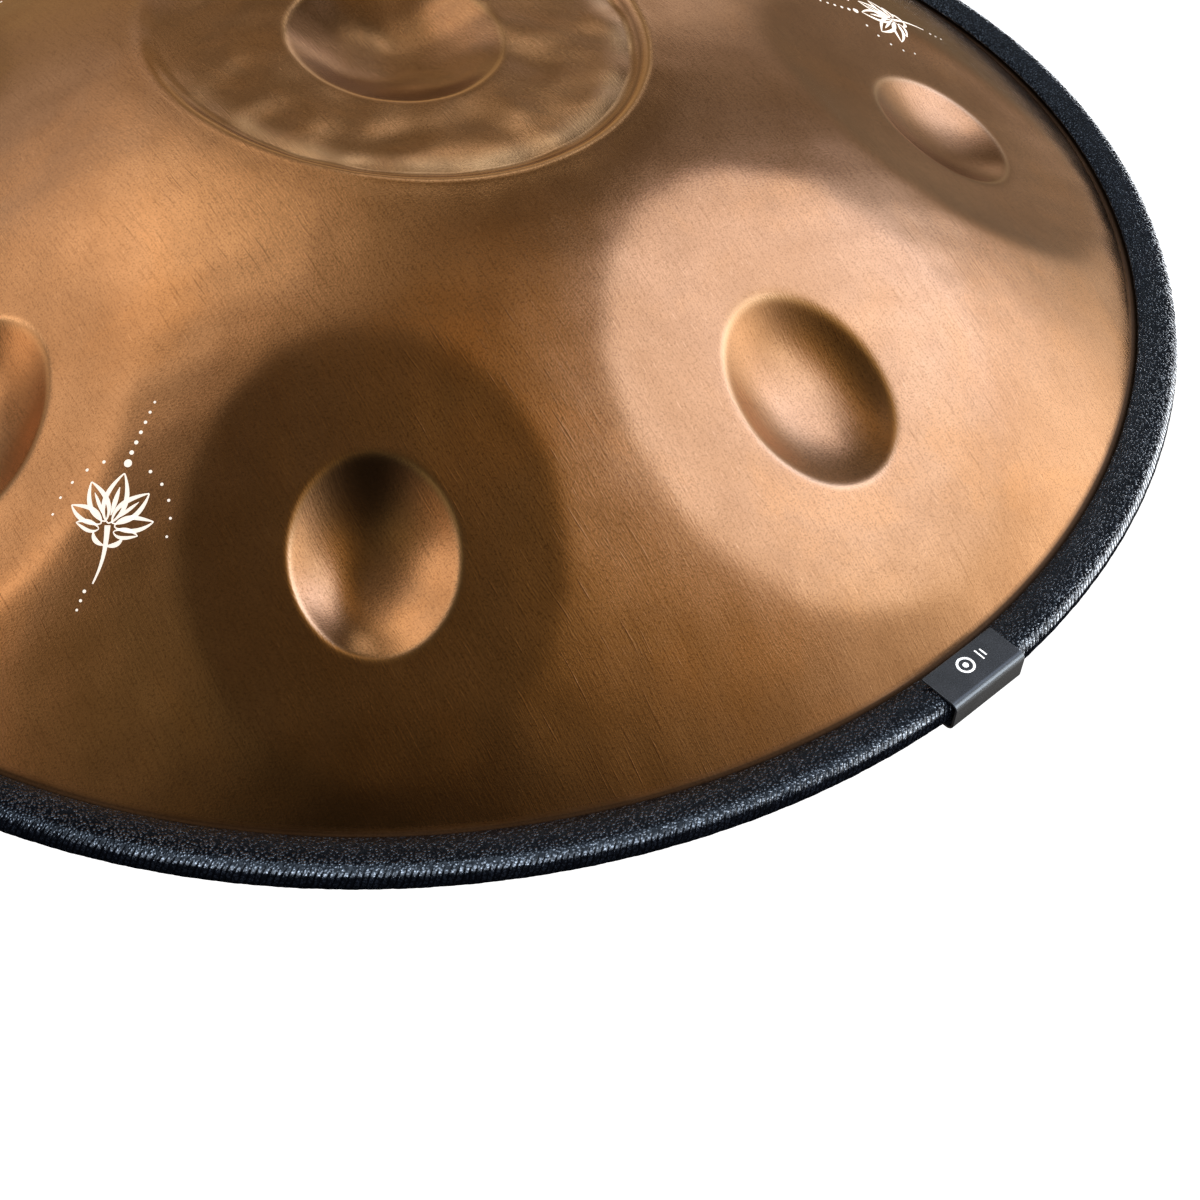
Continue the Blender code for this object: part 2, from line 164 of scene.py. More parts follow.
SWELL = wave_field(seed=11, shortest=45.0, longest=120.0)
HAMMER = wave_field(seed=5, shortest=14.0, longest=42.0)
DENTS = wave_field(seed=23, shortest=20.0, longest=60.0)


def smooth(start, end, value):
    share = np.clip((value - start) / (end - start), 0.0, 1.0)
    return share * share * (3.0 - 2.0 * share)


def bell(value, at, width):
    return np.exp(-(((value - at) / width) ** 2))


def soft_cap(rho2, softness, power=1.0):
    """Rises from 0 outside an oval to about 1 inside, with a softened border."""
    rise = (1.0 - np.power(rho2 + 1e-12, power)) / softness
    return softness * np.where(rise > 30.0, rise, np.log1p(np.exp(np.minimum(rise, 30.0))))


def oval(across, along, half_across, half_along, turn):
    """Squared distance from an oval's centre, 1 on its outline."""
    cos, sin = math.cos(math.radians(turn)), math.sin(math.radians(turn))
    return (((across * cos + along * sin) / half_across) ** 2
            + ((along * cos - across * sin) / half_along) ** 2)


def leaning(across, along, lean, span):
    """Factor that deepens a dish towards one side."""
    return 1.0 + lean[0] * across / span[0] + lean[1] * along / span[1]


def turned(across, along, turn):
    cos, sin = math.cos(math.radians(turn)), math.sin(math.radians(turn))
    return across * cos - along * sin, across * sin + along * cos


# --------------------------------------------------------- the top shell's shape
def foot(sphere_r, drop):
    """Section places (radius, z) of the foot fillet's centre and the sphere's end."""
    z = FLANGE_TOP + FOOT_FILLET
    radius = math.sqrt((sphere_r + FOOT_FILLET) ** 2 - (z + drop) ** 2)
    share = sphere_r / (sphere_r + FOOT_FILLET)
    return (radius, z), (radius * share, (z + drop) * share - drop)


(FOOT_R, FOOT_Z), (DOME_END_R, _) = foot(DOME_R, DOME_DROP)


def dome(radius):
    """Height of the plain dome, its fillet and its flange."""
    cap = np.sqrt(np.maximum(DOME_R**2 - radius**2, 0.0)) - DOME_DROP
    fillet = FOOT_Z - np.sqrt(np.maximum(FOOT_FILLET**2 - (radius - FOOT_R) ** 2, 0.0))
    return np.where(radius > FOOT_R, FLANGE_TOP, np.where(radius > DOME_END_R, fillet, cap))


def dome_normals(x, y):
    radius = np.hypot(x, y)
    rise = np.sqrt(np.maximum(DOME_R**2 - radius**2, 0.0)) / DOME_R
    return np.stack((x / DOME_R, y / DOME_R, rise), -1)


def field_frame(azimuth, distance):
    """The dome's normal at a place, between the directions to its side and down it."""
    out = direction(azimuth)
    side = np.cross(UP, out)
    tilt = math.asin(distance / DOME_R)
    middle = out * math.sin(tilt) + UP * math.cos(tilt)
    down = out * math.cos(tilt) - UP * math.sin(tilt)
    return side, middle, down


def field_coordinates(field, normals):
    """Distances across and down from a field's dimple, and the match of the normals."""
    side, middle, down = field_frame(field.azimuth, field.distance)
    return DOME_R * (normals @ side), DOME_R * (normals @ down), normals @ middle


def dome_plan(azimuth, distance, across, along):
    """Plan positions of points on the dome, given across and down from a place."""
    side, middle, down = field_frame(azimuth, distance)
    across, along = across / DOME_R, along / DOME_R
    rise = np.sqrt(np.maximum(1.0 - (across**2 + along**2), 0.0))
    points = middle * rise[:, None] + side * across[:, None] + down * along[:, None]
    return (points * DOME_R)[:, :2]


def ding_coordinates(x, y):
    """Offsets from the ding's centre, and rho, which is 1 on its oval."""
    across, along = x - DING_CENTRE[0], y - DING_CENTRE[1]
    return across, along, np.sqrt(oval(across, along, *DING_AXES, DING_TURN))


def ding_facing(across, along, start):
    """0 to 1: how far a place on the border lies towards DING_FACING."""
    cosine = DING_FACING[0] * across + DING_FACING[1] * along
    return smooth(start, 0.45, cosine / np.maximum(np.hypot(across, along), 1.0))


def press_ding(z, x, y):
    """Flattens the ding's field into the shell and presses its border and dimple."""
    across, along, rho = ding_coordinates(x, y)
    inside = smooth(DING_BORDER + DING_BORDER_HALF, DING_BORDER - DING_BORDER_HALF, rho)
    plane = DING_PLANE + DING_TILT[0] * across + DING_TILT[1] * along
    plane = plane + inside * DING_DENTS * DENTS(x, y) + DING_HAMMER * HAMMER(x, y)
    z = z * (1.0 - inside) + plane * inside
    # The near side of the border rolls over softly, then stands up in a narrow ridge.
    facing = 0.30 + 0.70 * ding_facing(across, along, start=-0.35)
    z = z - (0.66 - 0.30 * facing) * bell(rho - DING_BORDER, at=0.03, width=0.097)
    climb = (rho - DING_ROLL_START) / (DING_ROLL_CREST - DING_ROLL_START)
    roll = np.where(
        rho < DING_ROLL_CREST,
        np.clip(climb, 0.0, 1.0) ** 2,
        bell(rho, at=DING_ROLL_CREST, width=0.034),
    )
    z = z - 0.95 * facing * roll
    z = z + 0.34 * facing * bell(rho, at=1.010, width=0.026)
    across, along = x - DING_DIMPLE_CENTRE[0], y - DING_DIMPLE_CENTRE[1]
    dish = soft_cap(oval(across, along, *DING_DIMPLE_AXES, DING_DIMPLE_TURN), *DING_DIMPLE_EDGE)
    dish = dish * leaning(across, along, DING_DIMPLE_LEAN, DING_LEAN_SPAN)
    return z - DING_DIMPLE_DEPTH * dish


def top_height(x, y):
    """Height of the top shell's outer face over the seam plane."""
    radius = np.hypot(x, y)
    normals = dome_normals(x, y)
    share = radius / DOME_FOOT_R
    sink = (DOME_SAG * share**2 * (1.0 - share**2)
            + DOME_RIPPLE * np.cos(3.0 * math.pi * share))
    for field in TONE_FIELDS:
        across, along, match = field_coordinates(field, normals)
        bed_across, bed_along = across - field.offset[0], along - field.offset[1]
        depth, *border = field.bed
        bed = depth * soft_cap(oval(bed_across, bed_along, *field.oval), *border)
        bed *= leaning(bed_across, bed_along, field.bed_lean, field.oval)
        cup = soft_cap(oval(across, along, *field.dimple), *field.edge)
        cup = field.depths[0] * cup + field.depths[1] * cup**2
        cup = cup * leaning(across, along, field.lean, field.dimple)
        sink += np.where(match > FIELD_REACH, bed + cup, 0.0)
    keep = 1.0 - smooth(DOME_END_R - 0.6, DOME_FOOT_R + 0.6, radius)
    sink += SWELL_DEPTH * SWELL(x, y) + TOP_HAMMER_DEPTH * HAMMER(x, y)
    z = dome(radius) - sink * keep / np.maximum(normals[..., 2], 0.5)
    return np.where(radius < DING_REACH, press_ding(z, x, y), z)


def top_normal(x, y, step=0.25):
    slope_x = (top_height(x + step, y) - top_height(x - step, y)) / (2 * step)
    slope_y = (top_height(x, y + step) - top_height(x, y - step)) / (2 * step)
    normals = np.stack((-slope_x, -slope_y, np.ones(np.shape(x))), -1)
    return normals / np.linalg.norm(normals, axis=-1)[..., None]


# ------------------------------------------------- the top shell's vertices
def ring_of(count, phase):
    return (np.arange(count) + phase) * 2 * math.pi / count


def circle(count, radius, phase):
    angles = ring_of(count, phase)
    return np.stack((radius * np.cos(angles), radius * np.sin(angles)), -1)


def patch_rings(small, big, shift, scales, spacing):
    """Rings of points (across, along) that pass from a dimple's oval to its field's.

    scales holds (share of the way from dimple to field, size) pairs.
    """
    rings = []
    for i, (share, size) in enumerate(scales):
        half_across, half_along, turn = (
            low * (1 - share) + high * share for low, high in zip(small, big))
        length = math.pi * (half_across + half_along) * size
        angles = ring_of(max(8, int(round(length / spacing(share, size)))), 0.5 * (i % 2))
        ring = turned(half_across * size * np.cos(angles), half_along * size * np.sin(angles), turn)
        rings.append(np.stack(ring, -1) + np.array(shift) * share)
    return rings


def fill_grid(step):
    """Staggered grid over the dome, clear of the ding, the fields and the foot."""
    xs, ys = np.meshgrid(np.arange(-275, 275, step), np.arange(-275, 275, step * 0.866))
    xs = xs + (np.arange(len(ys))[:, None] % 2) * step / 2
    grid = np.stack((xs.ravel(), ys.ravel()), -1)
    x, y = grid[:, 0], grid[:, 1]
    keep = np.hypot(x, y) < DOME_END_R - 5.5
    keep &= ding_coordinates(x, y)[2] > 1.175
    normals = dome_normals(x, y)
    for field in TONE_FIELDS:
        across, along, match = field_coordinates(field, normals)
        rho2 = oval(across - field.offset[0], along - field.offset[1], *field.oval)
        keep &= ~((match > 0.9) & (rho2 < 1.20**2))
    return grid[keep]


def top_points():
    """Plan positions of the outer face's vertices: close together where it bends.

    Also returns the edges that keep each ring of vertices whole.
    """
    coarse = 1.0
    dimple_sizes = [0.06, 0.14, 0.24, 0.34, 0.44, 0.54, 0.64, 0.73, 0.80, 0.86, 0.91]
    dimple_sizes += list(np.arange(0.935, 1.10, 0.0225 * coarse)) + [1.13, 1.18]
    field_sizes = list(np.arange(0.88, 1.13, 0.032 * coarse)) + [1.17]
    ding_sizes = list(np.arange(0.90, 1.12, 0.0125 * coarse)) + [1.14]
    in_dimple = [(0.0, size) for size in dimple_sizes]
    scales = in_dimple + [(share, 1.0) for share in np.linspace(0.20, 0.80, 9)]
    scales += [(1.0, size) for size in field_sizes]
    ding_scales = in_dimple + [(share, 1.0) for share in np.linspace(0.08, 0.86, 15)]
    ding_scales += [(1.0, size) for size in ding_sizes]

    def spacing(share, size):
        if share == 0.0:
            return (2.0 if 0.88 < size < 1.12 else 2.8) * coarse
        return (2.8 if share == 1.0 else 3.6) * coarse

    # Each group is a ring of points and a mask of the ones to keep.
    small, big = (*DING_DIMPLE_AXES, DING_DIMPLE_TURN), (*DING_AXES, DING_TURN)
    middle = np.array(DING_DIMPLE_CENTRE)
    groups = []
    for ring in patch_rings(small, big, np.array(DING_CENTRE) - middle, ding_scales, spacing):
        groups.append((ring + middle, np.ones(len(ring), bool)))
    for field in TONE_FIELDS:
        for ring in patch_rings(field.dimple, field.oval, field.offset, scales, spacing):
            plan = dome_plan(field.azimuth, field.distance, ring[:, 0], ring[:, 1])
            x, y = plan[:, 0], plan[:, 1]
            on_shell = np.hypot(x, y) < DOME_END_R - 4.5
            groups.append((plan, on_shell & (ding_coordinates(x, y)[2] > 1.17)))
    foot_radii = [DOME_END_R - 3.0, DOME_END_R - 1.0]
    foot_radii += list(np.linspace(DOME_END_R + 0.2, FOOT_R, 6)) + [274.5, 275.5, 280.5, FLANGE_R]
    for i, radius in enumerate(foot_radii):
        ring = circle(560, radius, 0.5 * (i % 2))
        groups.append((ring, np.ones(len(ring), bool)))

    points, edges, start = [], [], 0
    for ring, kept in groups:
        index = np.cumsum(kept) - 1 + start
        after = np.roll(np.arange(len(ring)), -1)
        both = kept & kept[after]
        edges.extend(zip(index[both].tolist(), index[after][both].tolist()))
        points.append(ring[kept])
        start += int(kept.sum())
    points.append(fill_grid(4.2 * coarse))
    return np.concatenate(points), edges


# ------------------------------------------------------------- mesh helpers
def link(obj):
    bpy.context.scene.collection.objects.link(obj)
    return obj


def mesh_object(name, verts_mm, faces, normals=None, smooth_shade=True):
    mesh = bpy.data.meshes.new(name)
    verts = np.asarray(verts_mm, float) * MM
    mesh.from_pydata(verts.tolist(), [], [tuple(face) for face in faces])
    mesh.validate()
    if smooth_shade:
        mesh.shade_smooth()
    if normals is not None:
        mesh.normals_split_custom_set_from_vertices(np.asarray(normals, float).tolist())
    mesh.update()
    return link(bpy.data.objects.new(name, mesh))


def point_attribute(obj, name, values):
    layer = obj.data.attributes.new(name, "FLOAT", "POINT")
    layer.data.foreach_set("value", np.asarray(values, np.float32))


def fix_outward(obj):
    """Faces point out of the closed body."""
    body = bmesh.new()
    body.from_mesh(obj.data)
    bmesh.ops.recalc_face_normals(body, faces=body.faces)
    body.to_mesh(obj.data)
    body.free()
    obj.data.update()


def tube_faces(rows, count, wrap):
    """Quads between successive closed rows of count vertices."""
    faces = []
    for j in range(rows if wrap else rows - 1):
        k = (j + 1) % rows
        for i in range(count):
            m = (i + 1) % count
            faces.append((j * count + i, j * count + m, k * count + m, k * count + i))
    return faces


def slab_faces(first, count):
    """Faces of a flat body: an upper outline from vertex first, then a lower one."""
    faces = [tuple(first + i for i in range(count))]
    faces.append(tuple(first + count + i for i in reversed(range(count))))
    for i in range(count):
        m = (i + 1) % count
        faces.append((first + i, first + count + i, first + count + m, first + m))
    return faces


def revolve(section, segments, bump=None, start=0.0, sweep=360.0):
    """Turns a closed section (radius, z) round the axis.

    bump(azimuth, section) gives how far the points move out and up. Returns the
    vertices, the faces and the number of columns.
    """
    full = sweep == 360.0
    columns = segments if full else segments + 1
    section = np.array(section, float)
    verts = []
    for azimuth in start + sweep * np.arange(columns) / segments:
        radii, heights = section.T
        if bump is not None:
            outward, upward = bump(azimuth, section)
            radii, heights = radii + outward, heights + upward
        out = direction(azimuth)
        verts.append(np.stack((radii * out[0], radii * out[1], heights + SEAM_Z), -1))
    return np.concatenate(verts), tube_faces(columns, len(section), full), columns


def arc(centre, radius, begin, end, steps):
    angles = np.radians(np.linspace(begin, end, steps + 1))
    return [(centre[0] + radius * math.cos(a), centre[1] + radius * math.sin(a)) for a in angles]


# ---------------------------------------------------------------- the shells
def top_finish(x, y):
    """Masks for the material: painted highlights on the folds, ding mottle, a painted reflection
    crescent, and painted shade in the foot groove.
    """
    normals = dome_normals(x, y)
    # Painted highlight: a pale line along each dimple's fold and along the ding border's ridge on
    # its near side.
    fold_highlight = np.zeros(len(x))
    for field in TONE_FIELDS:
        across, along, match = field_coordinates(field, normals)
        rho = np.sqrt(oval(across, along, *field.dimple))
        fold = bell(rho, at=1.0, width=0.035)
        fold_highlight = np.maximum(fold_highlight, np.where(match > FIELD_REACH, fold, 0.0))
    across, along = x - DING_DIMPLE_CENTRE[0], y - DING_DIMPLE_CENTRE[1]
    rho = np.sqrt(oval(across, along, *DING_DIMPLE_AXES, DING_DIMPLE_TURN))
    fold_highlight = np.maximum(fold_highlight, bell(rho, at=1.0, width=0.025))
    across, along, rho = ding_coordinates(x, y)
    facing = ding_facing(across, along, start=-0.25)
    fold_highlight = np.maximum(fold_highlight, facing * bell(rho, at=1.016, width=0.014))
    # Painted reflection: a pale crescent inside the ding's border on its near side.
    crescent_sheen = facing * bell(rho, at=0.915, width=0.048) * (0.75 + 0.35 * DENTS(x + 40.0, y))
    crescent_sheen = np.clip(crescent_sheen, 0.0, 1.0)
    mottle = smooth(1.05, 0.92, rho) * (1.0 - 0.75 * crescent_sheen)
    radius = np.hypot(x, y)
    # Painted shade: near black in the groove at the dome's foot under the trim, and in a thin line
    # inside the ding's near border.
    groove_shade = 0.88 * smooth(DOME_END_R - 0.4, DOME_END_R + 0.8, radius)
    groove_shade = groove_shade + 0.12 * smooth(273.8, 274.4, radius)
    groove_shade = np.maximum(groove_shade, 0.45 * (facing * bell(rho, at=0.984, width=0.008)))
    return {"fold_highlight": fold_highlight, "mottle": mottle, "crescent_sheen": crescent_sheen, "groove_shade": groove_shade}


def make_top_shell():
    points, edges = top_points()
    places = [Vector(point) for point in points.tolist()]
    flat, _, faces, *_ = delaunay_2d_cdt(places, edges, [], 0, 1e-5)
    plan = np.array([(point.x, point.y) for point in flat])
    faces = np.array([face[:3] for face in faces])
    first, second, third = (plan[faces[:, i]] for i in range(3))
    way, turn = second - first, third - first
    area = way[:, 0] * turn[:, 1] - way[:, 1] * turn[:, 0]
    faces = np.where(area[:, None] < 0, faces[:, ::-1], faces)
    x, y = plan[:, 0], plan[:, 1]
    normals = top_normal(x, y)
    outer = np.stack((x, y, top_height(x, y) + SEAM_Z), -1)
    inner = outer - normals * SHEET
    count = len(outer)
    # Edges used one way only are the rim, which a wall closes.
    sides = {}
    for face in faces.tolist():
        for i in range(3):
            sides[(face[i], face[(i + 1) % 3])] = True
    rim = [side for side in sides if (side[1], side[0]) not in sides]
    walls = [(j, i, i + count, j + count) for i, j in rim]
    all_faces = faces.tolist() + (faces[:, ::-1] + count).tolist() + walls
    obj = mesh_object(
        "top_shell_finished",
        np.concatenate((outer, inner)),
        all_faces,
        np.concatenate((normals, -normals)),
    )
    for name, values in top_finish(x, y).items():
        point_attribute(obj, name, np.concatenate((values, np.zeros(count))))
    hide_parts("top_shell")
    return obj


def bottom_outline():
    """Outer face of the bottom shell, from the flange in to the top of the port's neck."""
    rise = (DOME_FOOT_R**2 - REST_RING_R**2 - BOTTOM_DEPTH**2) / (2 * BOTTOM_DEPTH)
    bowl_r = math.hypot(DOME_FOOT_R, rise)
    centre, end = foot(bowl_r, rise)
    begin = math.degrees(math.atan2(centre[1] - end[1], end[0] - centre[0]))
    outer = [(FLANGE_R, -FLANGE_TOP), (282.0, -FLANGE_TOP)]
    outer += [(radius, -z) for radius, z in reversed(arc(centre, FOOT_FILLET, -begin, -90.0, 8))]
    for radius in np.linspace(end[0], REST_RING_R + 3.0, 62)[1:]:
        outer.append((radius, -(math.sqrt(bowl_r**2 - radius**2) - rise)))
    outer += [(REST_RING_R + 1.0, -BOTTOM_DEPTH + 0.30), (REST_RING_R - 1.5, -BOTTOM_DEPTH)]
    floor_radii = np.linspace(REST_RING_R - 5.0, PORT_R + PORT_FILLET, 7)
    outer += [(radius, -BOTTOM_DEPTH) for radius in floor_radii]
    port_bend = (PORT_R + PORT_FILLET, -BOTTOM_DEPTH + PORT_FILLET)
    outer += arc(port_bend, PORT_FILLET, 270.0, 180.0, 8)[1:]
    outer += [(PORT_R, -BOTTOM_DEPTH + z) for z in np.linspace(10.0, PORT_NECK - 0.6, 5)]
    outer += [(PORT_R + 0.25, -BOTTOM_DEPTH + PORT_NECK)]
    return np.array(outer)


def make_bottom_shell():
    outer = bottom_outline()
    tangent = np.gradient(outer, axis=0)
    tangent /= np.linalg.norm(tangent, axis=1)[:, None]
    inward = np.stack((tangent[:, 1], -tangent[:, 0]), -1)
    section = np.concatenate((outer, (outer + inward * SHEET)[::-1]))
    radii = section[:, 0]
    sway = smooth(280.0, 266.0, radii) * smooth(REST_RING_R, REST_RING_R + 12.0, radii)

    def dents(azimuth, section):
        out = direction(azimuth)
        x, y = section[:, 0] * out[0] + BOTTOM_SAMPLE_SHIFT, section[:, 0] * out[1]
        return 0.0, sway * (SWELL_DEPTH * SWELL(x, y) + BOTTOM_HAMMER_DEPTH * HAMMER(x, y))

    verts, faces, _ = revolve(section, 400, bump=dents)
    obj = mesh_object("bottom_shell_finished", verts, [face[::-1] for face in faces])
    fix_outward(obj)
    obj.data.set_sharp_from_angle(angle=math.radians(50))
    for name in ("fold_highlight", "mottle", "crescent_sheen"):
        point_attribute(obj, name, np.zeros(len(verts)))
    radius = np.hypot(verts[:, 0], verts[:, 1])
    # Painted shade: darker near the flange, under the trim.
    point_attribute(obj, "groove_shade", smooth(DOME_END_R + 0.3, DOME_END_R + 1.6, radius))
    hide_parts("bottom_shell")
    return obj


# ------------------------------------------------------------- the edge trim
TRIM_SEGMENTS, POCKET_SEGMENTS = 2900, 180
CREASE_DEPTH, CREASE_WIDTH = 0.09, 0.50
BULB_R = TRIM_R - TRIM_BULB     # radius of the ring the bulb's section is centred on


def trim_section():
    """Outline (radius, z) of the U section: its upper half and then its mirror."""
    top = [
        (TRIM_SLOT_R, TRIM_SLOT),
        (TRIM_INNER_R + 3.6, TRIM_SLOT),
        (TRIM_INNER_R + 0.3, TRIM_SLOT + 0.5),
    ]
    top += arc((TRIM_INNER_R + 0.45, TRIM_LIP - 0.42), 0.45, 200.0, 100.0, 2)
    top += [(TRIM_INNER_R + 3.6, 3.70), (TRIM_INNER_R + 6.4, 4.42)]
    top += arc((BULB_R, 0.0), TRIM_BULB, 94.0, 0.0, 8)
    return np.array(top + [(radius, -z) for radius, z in reversed(top) if z > 1e-6])


def pocket_section():
    """Outline (radius, z) of the U-shaped pocket round the carrier strip."""
    half = CORE_SHEET / 2 + CORE_GAP
    mouth, back, front = CORE_INNER_R - CORE_GAP, CORE_WEB_R + half, CORE_WEB_R - half
    return [
        (mouth, CORE_MID + half), (back, CORE_MID + half),
        (back, -CORE_MID - half), (mouth, -CORE_MID - half),
        (mouth, -CORE_MID + half), (front, -CORE_MID + half),
        (front, CORE_MID - half), (mouth, CORE_MID - half),
    ]


def trim_creases(section):
    """A bump for revolve that creases the bulb, and how much each point is gathered."""
    bulb = np.hypot(section[:, 0] - BULB_R, section[:, 1])
    on_bulb = (np.abs(bulb - TRIM_BULB) < 0.02) & (section[:, 0] > BULB_R - 0.6)
    normal_r = np.where(on_bulb, (section[:, 0] - BULB_R) / TRIM_BULB, 0.0)
    normal_z = np.where(on_bulb, section[:, 1] / TRIM_BULB, 0.0)
    angle = np.degrees(np.arctan2(section[:, 1], section[:, 0] - BULB_R))
    gather = np.where(on_bulb, smooth(80.0, 46.0, np.abs(angle)), 0.0)

    random = np.random.RandomState(3)
    places = np.cumsum(random.uniform(1.7, 3.1, 900))
    places = places[places < 2 * math.pi * TRIM_R - 2.0]
    depths = random.uniform(0.35, 1.0, len(places))
    leans = random.uniform(-0.012, 0.012, len(places))

    def creases(azimuth, _section):
        run = (azimuth - TRIM_JOINT_AZ) % 360.0 / 360.0 * 2 * math.pi * TRIM_R
        after = np.searchsorted(places, run)
        total = np.zeros(len(angle))
        for i in (after - 1, after):
            if 0 <= i < len(places):
                offset = run - places[i] - leans[i] * angle
                total -= depths[i] * CREASE_DEPTH * np.exp(-((offset / CREASE_WIDTH) ** 2))
        # Two slow waves keep the rim from being perfectly even.
        total += 0.035 * math.sin(run * 0.9) + 0.03 * math.sin(run * 0.37 + 1.0)
        return normal_r * gather * total, normal_z * gather * total

    return creases, gather


def inside_loop(point, loop):
    """Even-odd test of a point in a closed outline."""
    found = False
    for i, start in enumerate(loop):
        end = loop[(i + 1) % len(loop)]
        if (start.y > point.y) != (end.y > point.y):
            crossing = (end.x - start.x) * (point.y - start.y) / (end.y - start.y) + start.x
            if point.x < crossing:
                found = not found
    return found


def end_triangles(section, pocket):
    """Triangles between two outlines, as indices into their joined points."""
    count, pocket_count = len(section), len(pocket)
    flat = [Vector(point) for point in section.tolist() + pocket]
    loops = [(i, (i + 1) % count) for i in range(count)]
    loops += [(count + i, count + (i + 1) % pocket_count) for i in range(pocket_count)]
    _, _, polygons, sources, _, _ = delaunay_2d_cdt(flat, loops, [], 2, 1e-6)
    triangles = []
    for polygon in polygons:
        ids = [sources[i][0] for i in polygon]
        for i in range(1, len(ids) - 1):
            corners = (ids[0], ids[i], ids[i + 1])
            middle = sum((flat[k] for k in corners), Vector((0.0, 0.0))) / 3
            if inside_loop(middle, flat[:count]) and not inside_loop(middle, flat[count:]):
                triangles.append(corners)
    return triangles


def trim_uv(obj, section, columns):
    """UV map in metres: u runs round the rim and v along the section."""
    around = np.repeat(np.arange(columns), len(section)) / TRIM_SEGMENTS
    around = around * 2 * math.pi * TRIM_R * MM
    run = np.concatenate(((0.0,), np.cumsum(np.hypot(*np.diff(section, axis=0).T)))) * MM
    coords = np.zeros((len(obj.data.vertices), 2))
    coords[: len(around), 0] = around
    coords[: len(around), 1] = np.tile(run, columns)
    layer = obj.data.uv_layers.new(name="around")
    loop_verts = np.empty(len(obj.data.loops), np.int32)
    obj.data.loops.foreach_get("vertex_index", loop_verts)
    layer.data.foreach_set("uv", coords[loop_verts].ravel())


def make_edge_trim():
    """Grained U strip. It is gathered in fine creases where it bends round the rim."""
    section, pocket = trim_section(), pocket_section()
    creases, gather = trim_creases(section)
    gap = math.degrees(TRIM_JOINT_GAP / TRIM_R)
    span = {"start": TRIM_JOINT_AZ + gap / 2, "sweep": 360.0 - gap}
    verts, faces, columns = revolve(section, TRIM_SEGMENTS, bump=creases, **span)
    faces = [face[::-1] for face in faces]
    # The pocket for the carrier strip runs the whole way round and opens at both ends.
    pocket_verts, pocket_faces, pocket_columns = revolve(pocket, POCKET_SEGMENTS, **span)
    base, count, pocket_count = len(verts), len(section), len(pocket)
    faces += [tuple(i + base for i in face) for face in pocket_faces]
    triangles = end_triangles(section, pocket)
    last, pocket_last = (columns - 1) * count, base + (pocket_columns - 1) * pocket_count
    for outer_at, pocket_at, order in ((0, base, 1), (last, pocket_last, -1)):
        ids = list(range(outer_at, outer_at + count))
        ids += range(pocket_at, pocket_at + pocket_count)
        faces += [tuple(ids[k] for k in corners)[::order] for corners in triangles]
    obj = mesh_object("edge_trim_grained", np.concatenate((verts, pocket_verts)), faces)
    fix_outward(obj)
    obj.data.set_sharp_from_angle(angle=math.radians(60))
    gathered = np.concatenate((np.tile(gather, columns), np.zeros(len(pocket_verts))))
    point_attribute(obj, "gather", gathered)
    trim_uv(obj, section, columns)
    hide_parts("edge_trim")
    return obj


# ------------------------------------------------------------- the trim clip
def to_joint(verts):
    """Turns vertices laid out round the +X axis to the trim's joint."""
    angle = math.radians(TRIM_JOINT_AZ - 90.0)
    cos, sin = math.cos(angle), math.sin(angle)
    return np.array(verts) @ np.array(((cos, -sin, 0), (sin, cos, 0), (0, 0, 1))).T


def make_trim_clip():
    """Bent sheet over the joint: straight along its length, with softened edges."""
    bend_r, bend_z = CLIP_WALL_R - CLIP_BEND, CLIP_HALF - CLIP_BEND

    def clip_face(half, bend):
        upper, lower = arc((bend_r, bend_z), bend, 90.0, 0.0, 10), arc(
            (bend_r, -bend_z), bend, 0.0, -90.0, 10)
        return [(CLIP_INNER_R, half)] + upper + lower + [(CLIP_LOWER_R, -half)]

    section = clip_face(CLIP_HALF, CLIP_BEND)
    section += clip_face(CLIP_HALF - CLIP_SHEET, CLIP_BEND - CLIP_SHEET)[::-1]
    count = len(section)
    slices = np.linspace(-CLIP_LENGTH / 2, CLIP_LENGTH / 2, 9)
    verts = [(radius, y, z + SEAM_Z) for y in slices for radius, z in section]
    faces = tube_faces(len(slices), count, wrap=False)
    for start in (0, (len(slices) - 1) * count):
        for i in range(count // 2 - 1):
            end = start + count - 1 - i
            faces.append((start + i, start + i + 1, end - 1, end))
    obj = mesh_object("trim_clip_finished", to_joint(verts), faces)
    fix_outward(obj)
    obj.data.set_sharp_from_angle(angle=math.radians(40))
    bevel = obj.modifiers.new("Softened edges", "BEVEL")
    bevel.width = 0.22 * MM
    bevel.segments = 3
    bevel.limit_method = "ANGLE"
    bevel.angle_limit = math.radians(50)
    bevel.harden_normals = True
    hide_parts("trim_clip")
    return obj


def disc(centre, radius, count=18):
    angles = ring_of(count, 0.0)
    return np.array(centre) + radius * np.stack((np.cos(angles), np.sin(angles)), -1)


MARK_CENTRE = (281.6, -1.5)
MARK_RING_R, MARK_HOLE_R, MARK_DOT_R = 3.1, 2.3, 1.0
MARK_BARS, MARK_BAR_Y, MARK_BAR_PITCH, MARK_BAR_HEIGHT = (4.2, 3.0), 4.6, 1.7, 0.55
MARK_HALF = 0.05        # half the print's thickness


